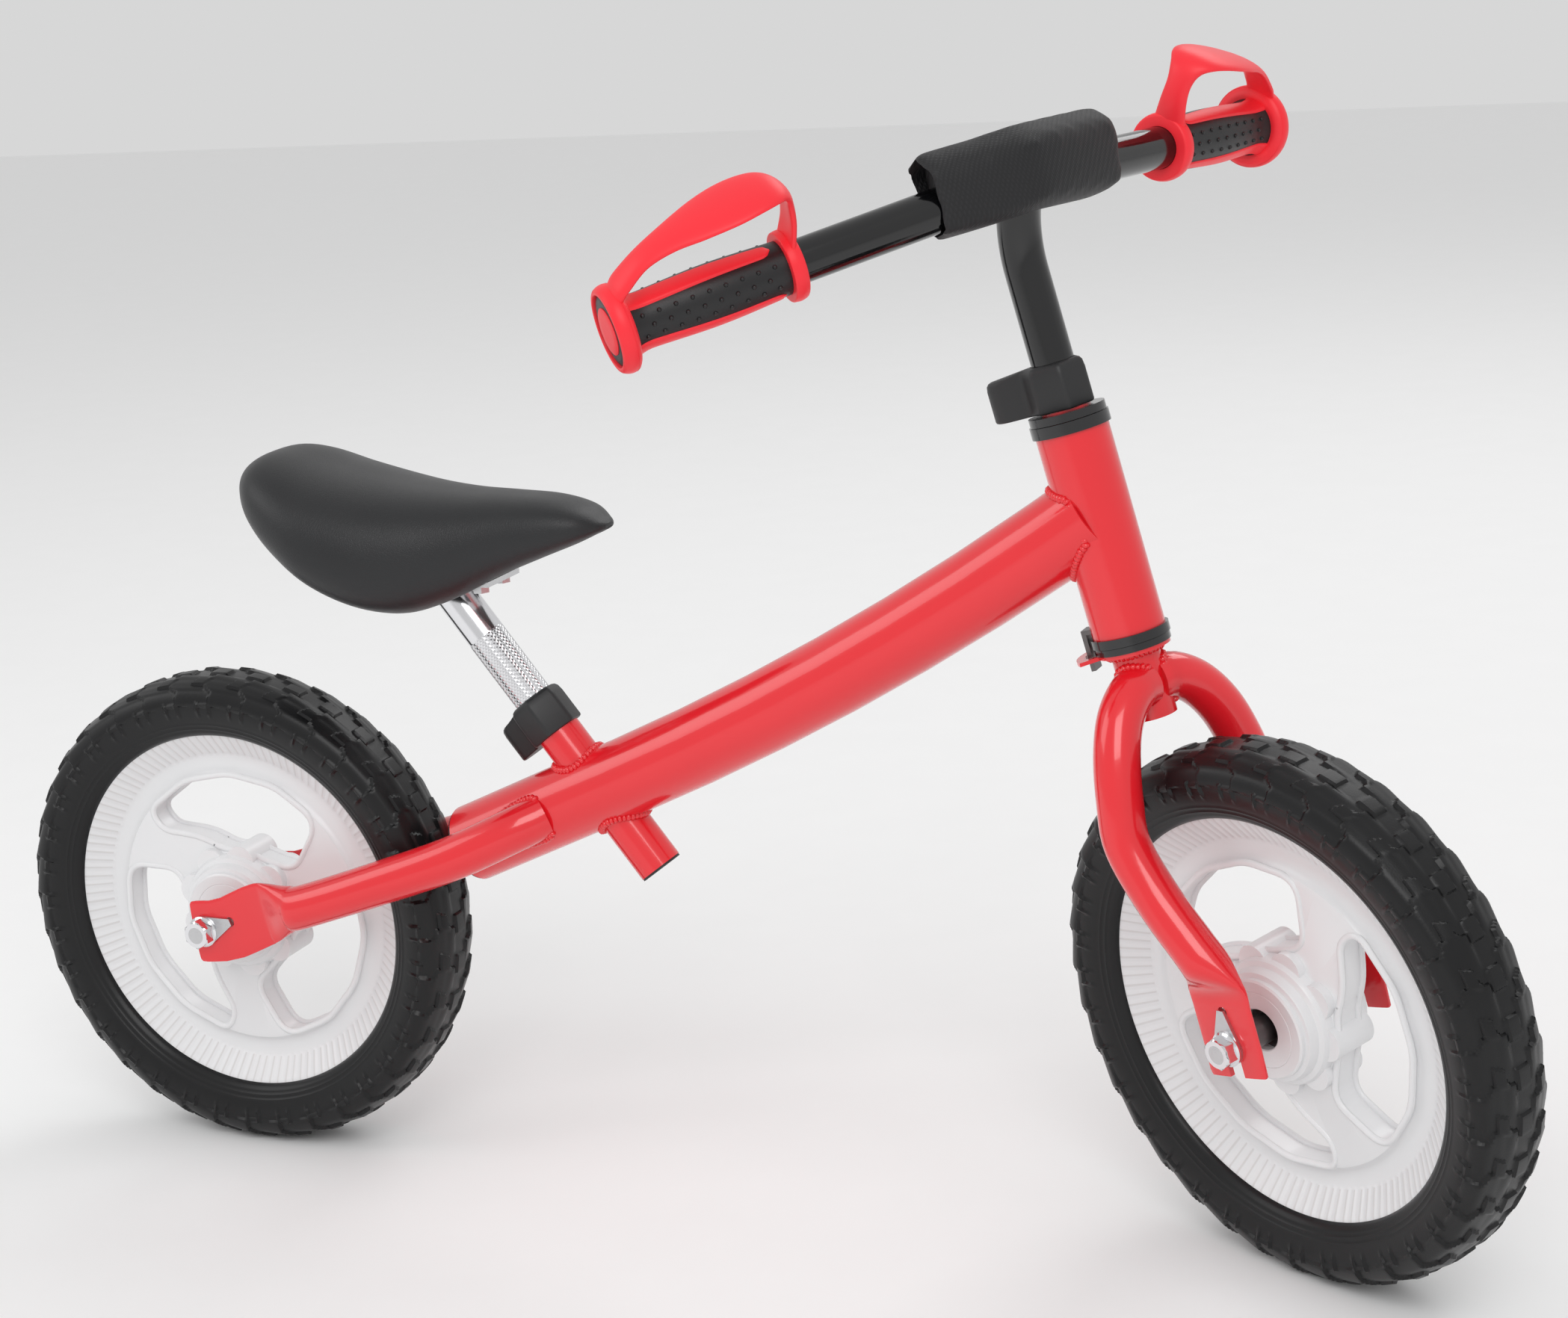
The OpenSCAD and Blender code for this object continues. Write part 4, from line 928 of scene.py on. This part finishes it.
steps = np.r_[np.linspace(-PAD_RIGHT, -4, 12), np.linspace(4, PAD_LEFT, 15)]
rings = np.array([pad_ring(s, -0.03, 1.5 * np.clip((-s - 20) / 30, 0, 1)) for s in steps])
pad = solid("bar_pad", [skin_of(rings[::-1])], None, smooth=0)
shape = pad.modifiers.new("even", "REMESH")
shape.mode = "VOXEL"
shape.voxel_size = 0.0042
settle(pad)
rest = np.array([v.co[:] for v in pad.data.vertices])
cloth = pad.modifiers.new("cloth", "CLOTH")
cloth.settings.use_pressure = True
cloth.settings.uniform_pressure_force = 4
cloth.settings.effector_weights.gravity = 0
cloth.settings.tension_stiffness = 12
scene = bpy.context.scene
for number in range(1, 16):
    scene.frame_set(number)
settle(pad)
scene.frame_set(1)
puffed = np.array([v.co[:] for v in pad.data.vertices])
move = puffed - rest
length = np.linalg.norm(move, axis=1)
puffed = rest + move * np.minimum(1, 0.0022 / np.maximum(length, 1e-9))[:, None]
for v, p in zip(pad.data.vertices, puffed):
    v.co = p
finer = pad.modifiers.new("finer", "SUBSURF")
finer.levels = finer.render_levels = 1
settle(pad)
hollows = []
for ends in ((-PAD_RIGHT - 8, -PAD_RIGHT + 9), (PAD_LEFT - 9, PAD_LEFT + 8)):
    rings = np.array([pad_ring(s, -0.12, 1.5 if s < 0 else 0.5) for s in np.linspace(*ends, 3)])
    hollows.append(solid("opening", [skin_of(rings[::-1])]))
carve(pad, *hollows)


def woven_nylon():
    """A diagonal weave of fine yarns, with a soft sheen, that runs over the front and the top; the yarn
    crests are painted lighter as a painted highlight.
    """
    m = finish("woven_nylon", (0.004, 0.004, 0.005), 0.62, grain=0.2, grain_size=0.0004, mottle=0.25,
               mottle_size=0.004)
    t = m.node_tree
    shader = t.nodes["Principled BSDF"]
    shader.inputs["Sheen Weight"].default_value = 0.06
    shader.inputs["Sheen Roughness"].default_value = 0.4
    place = t.nodes["Texture Coordinate"].outputs["Object"]
    bar_turn = bar_place.to_3x3()
    reach = [wire(t, "ShaderNodeVectorMath", {0: place, 1: bar_turn @ Vector(axis)},
                  operation="DOT_PRODUCT").outputs["Value"] for axis in ((0, 1, 0), (-0.7, 0, 0.75))]
    ridge = folded(t, *reach, (1 / YARN, 0.5 / YARN))
    high = wire(t, "ShaderNodeMath", {0: ridge[0], 1: ridge[1]}, operation="MULTIPLY")
    yarn = wire(t, "ShaderNodeBump", {"Height": high, "Strength": 0.9, "Distance": 0.0009})
    t.links.new(yarn.outputs["Normal"], shader.inputs["Normal"])
    # Painted highlight: the raised crests of the weave are mixed towards a lighter grey in the base
    # colour.
    painted_crest_sheen = wire(t, "ShaderNodeMix", {"Factor": high, "A": t.nodes["Mix"],
                                        "B": (0.034, 0.034, 0.040, 1)}, data_type="RGBA")
    t.links.new(painted_crest_sheen.outputs["Result"], shader.inputs["Base Color"])
    return m


pad.data.transform(bar_place)
crisp(pad, 50)
cloth_look = woven_nylon()
dress(pad, cloth_look, "handlebar", "pad_cloth", "bar_pad", "pad_cover")


# ---- Grips: black rubber sleeves pushed on the bar, with rows of small round studs on the
# faces that the palm and the fingers meet.
GRIP_IN, BAR_HALF = 123.0, 224.0
GRIP_R = 14.2
FLANGE_IN = BAR_HALF - 11
STUD_R = 1.15


def stud_tree(material):
    """A tree that sets a small dome on every point it is given."""
    g, start = new_tree("rubber_studs", "NodeSocketFloat", {"Stud radius": STUD_R / 1000})
    dome = wire(g, "GeometryNodeMeshIcoSphere", {"Subdivisions": 3, "Radius": start["Stud radius"]})
    lay = wire(g, "GeometryNodeInstanceOnPoints", {"Points": start["Geometry"],
                                                   "Instance": dome.outputs["Mesh"]})
    real = wire(g, "GeometryNodeRealizeInstances", {"Geometry": lay})
    return close_tree(g, wire(g, "GeometryNodeSetShadeSmooth", {"Geometry": real}), material)


def upright(part):
    """A piece turned about Y stood on the bar's own long axis."""
    p = part[0]
    return p[:, [0, 2, 1]], part[1]


def grip_radius(t):
    """The sleeve swells a little in the palm and flares to the flange."""
    return GRIP_R - 0.7 * math.cos((t - GRIP_IN) / 90 * 2 * math.pi) + 2.2 * max(0, (t - 203) / 10) ** 2


rubber = finish("grip_rubber", (0.008, 0.008, 0.009), 0.40, grain=0.3, grain_size=0.0006, mottle=0.12,
                mottle_size=0.01)
studs = stud_tree(rubber)
for side, word in ((1, "left"), (-1, "right")):
    outer = [(grip_radius(t), t) for t in np.linspace(GRIP_IN + 6, FLANGE_IN, 40)]
    outer = [(11.15, GRIP_IN + 6)] + outer + [(11.15, FLANGE_IN)]
    grip = solid("grip_" + word, [upright(turned(outer, 96))],
                 half_place[side])
    dress(grip, rubber, "handlebar", "grip_rubber", "grip_" + word)
    dots = []
    for row, angle in enumerate((-10, -33, -56, 91, 114, 136)):
        for k in range(9 if row % 3 != 1 else 8):
            t = 137.5 + 8.6 * k + (4.3 if row % 3 == 1 else 0)
            a, r = math.radians(angle) * side, grip_radius(t)
            dots.append([r * math.cos(a), r * math.sin(a), t])
    rows = grow(solid("grip_studs_" + word, [(dots, [])], half_place[side]), studs,
                {"Stud radius": STUD_R / 1000})
    dress(rows, rubber, "handlebar", "grip_rubber")

# ---- Hand guards: bright red moulded shields, each one piece with the grip's end flange,
# its inner collar and the two ribs that lock the rubber sleeve.
GUARD_TILT = math.radians(46)
FLANGE_R = 22.5
guard_red = finish("red_guard_plastic", (0.93, 0.028, 0.042), 0.40, grain=0.06, grain_size=0.0012,
                   mottle=0.03, specular=0.35)


def shield():
    """The curved strap, as rings round a line of [along, out, half width]."""
    h = 49.0
    line = flow([(217, 17.5, 8), (214.5, 22, 8.6), (211, 26, 8.8), (200, 34.5, 8.2), (186, 40.5, 10.5),
                 (170, 44.8, 15), (154, 47.8, 17.4), (140, 49.4, 16.4), (130.5, 48.6, 13.5),
                 (125, 44, 9.4), (123.2, 36, 7.2), (123.2, 26, 7.8), (125.5, 14.5, 9.4)], 7)
    f = np.linspace(0, 2 * np.pi, 28, endpoint=False)
    rings = []
    for i, (t, r, w) in enumerate(line):
        a, b = line[max(i - 1, 0)], line[min(i + 1, len(line) - 1)]
        way = np.array([b[0] - a[0], b[1] - a[1]])
        way /= np.linalg.norm(way)
        out = np.array([way[1], -way[0]])
        c, s = np.cos(f), np.sin(f)
        thick = 2.1 * np.sign(s) * np.abs(s) ** 0.8
        wide = w * np.sign(c) * np.abs(c) ** 0.7
        bow = -1.6 * (wide / max(w, 1)) ** 2 * min(1, w / 14)
        rings.append(np.stack([r + out[1] * (thick + bow), wide, t + out[0] * (thick + bow)], 1))
    return skin_of(np.array(rings))


def rib(angle_at, half_angle, t_low, t_high, taper):
    """A raised bar with a rounded end, lying on the sleeve."""
    ts, k = np.linspace(t_low, t_high, 36), np.linspace(-1, 1, 17)
    top, under = [], []
    for t in ts:
        share = (t - t_low) / (t_high - t_low)
        end = math.sqrt(max(0.02, 1 - max(0, 1 - (t - t_low) / 6) ** 2))
        half = math.radians(half_angle) * end * (1 - taper * (1 - share))
        a = math.radians(angle_at) + k * half
        rise = 1.25 * np.clip((1 - np.abs(k)) / 0.22, 0, 1) ** 0.5 * min(1, (t - t_low + 0.2) / 1.2) ** 0.5
        r = grip_radius(t) - 0.4 + rise
        top.append(np.stack([r * np.cos(a), r * np.sin(a), np.full(17, t)], 1))
        r = np.full(17, grip_radius(t) - 1.6)
        under.append(np.stack([r * np.cos(a), r * np.sin(a), np.full(17, t)], 1))
    return skin_of(np.concatenate([np.array(top), np.array(under)[:, ::-1]], 1))


for side, word in ((1, "left"), (-1, "right")):
    flange = eased([(11.15, 212.6, 0.2), (17.2, 211.6, 1), (21, 212.6, 2.5), (FLANGE_R, 215.5, 2),
                    (FLANGE_R - 0.5, 219.6, 2), (20.3, 222, 1.2), (18.2, 222, 0.6), (18.0, 219.6, 0.2),
                    (11.15, 219.6, 0.2)], 4)
    collar = eased([(11.15, GRIP_IN, 0.2), (17.2, GRIP_IN, 1.2), (18.2, GRIP_IN + 3.5, 1.5),
                    (17.6, GRIP_IN + 7.6, 0.8), (11.15, GRIP_IN + 7.6, 0.2)], 4)
    strap, faces = shield()
    c, s = math.cos(side * GUARD_TILT), math.sin(side * GUARD_TILT)
    strap = np.stack([strap[:, 0] * c - strap[:, 1] * s, strap[:, 0] * s + strap[:, 1] * c,
                      strap[:, 2]], 1)
    parts = [(strap, faces), upright(turned(flange, 96)), upright(turned(collar, 96)),
             rib(50 * side, 27, GRIP_IN + 13, FLANGE_IN + 0.5, 0.35),
             rib(166 * side, 20, GRIP_IN + 11, FLANGE_IN + 0.5, 0.5)]
    guard = solid("guard_" + word, parts, half_place[side], smooth=40)
    dress(guard, guard_red, "handlebar", "red_plastic", "guard_" + word)

# ---- End discs: black plugs that close the bar's ends inside the flanges, each with a plain
# raised oval in the guard's red.
for side, word in ((1, "left"), (-1, "right")):
    face = eased([(0.01, 221.2, 0), (15.5, 221.2, 1.5), (17.9, 220.2, 0.6), (17.9, 213.5, 0.2),
                  (11.0, 213.5, 0.2), (11.0, 213.0, 0.1)], 3)
    disc = solid("end_disc_" + word, [upright(turned(face, 72))], half_place[side], smooth=30)
    dress(disc, rubber, "handlebar", "grip_rubber", "end_disc_" + word)
    oval = []
    f = np.linspace(0, 2 * np.pi, 48, endpoint=False)
    for r, z in ((1.0, 220.6), (1.0, 221.6), (0.93, 222.0), (0.6, 222.0), (0.3, 222.0)):
        oval.append(np.stack([11.8 * r * np.cos(f), 13.2 * r * np.sin(f), np.full(48, z)], 1))
    boss = solid("end_oval_" + word, [skin_of(np.array(oval))], half_place[side], smooth=40)
    dress(boss, guard_red, "handlebar", "red_plastic")

# ---- Floor and light: a plain pale sweep, a large soft key from the front and above, a fill from
# behind the saddle, and an even white surround.
bpy.ops.mesh.primitive_plane_add(size=14)
floor = bpy.context.object
floor.name = "floor"
floor.data.materials.append(finish("pale_floor", (0.93, 0.93, 0.93), 0.7, grain=0.02, mottle=0.01,
                                   specular=0.1))
for name, place, size, power in (("key", (1.1, -2.4, 2.4), 1.8, 34), ("fill", (-2.2, -1.2, 1.8), 1.4, 10),
                                 ("rim", (0.4, 2.2, 2.6), 1.6, 16)):
    lamp = bpy.data.lights.new(name, "AREA")
    lamp.size = size
    lamp.energy = power
    stood = bpy.data.objects.new(name, lamp)
    stood.location = place
    stood.rotation_mode = "QUATERNION"
    stood.rotation_quaternion = (Vector(place) - Vector((0, 0, 0.3))).to_track_quat("Z", "Y")
    bpy.context.scene.collection.objects.link(stood)
world = bpy.data.worlds.new("studio")
world.use_nodes = True
world.node_tree.nodes["Background"].inputs["Color"].default_value = (1, 1, 1, 1)
world.node_tree.nodes["Background"].inputs["Strength"].default_value = 0.68
bpy.context.scene.world = world
bpy.context.scene.view_settings.view_transform = "Standard"
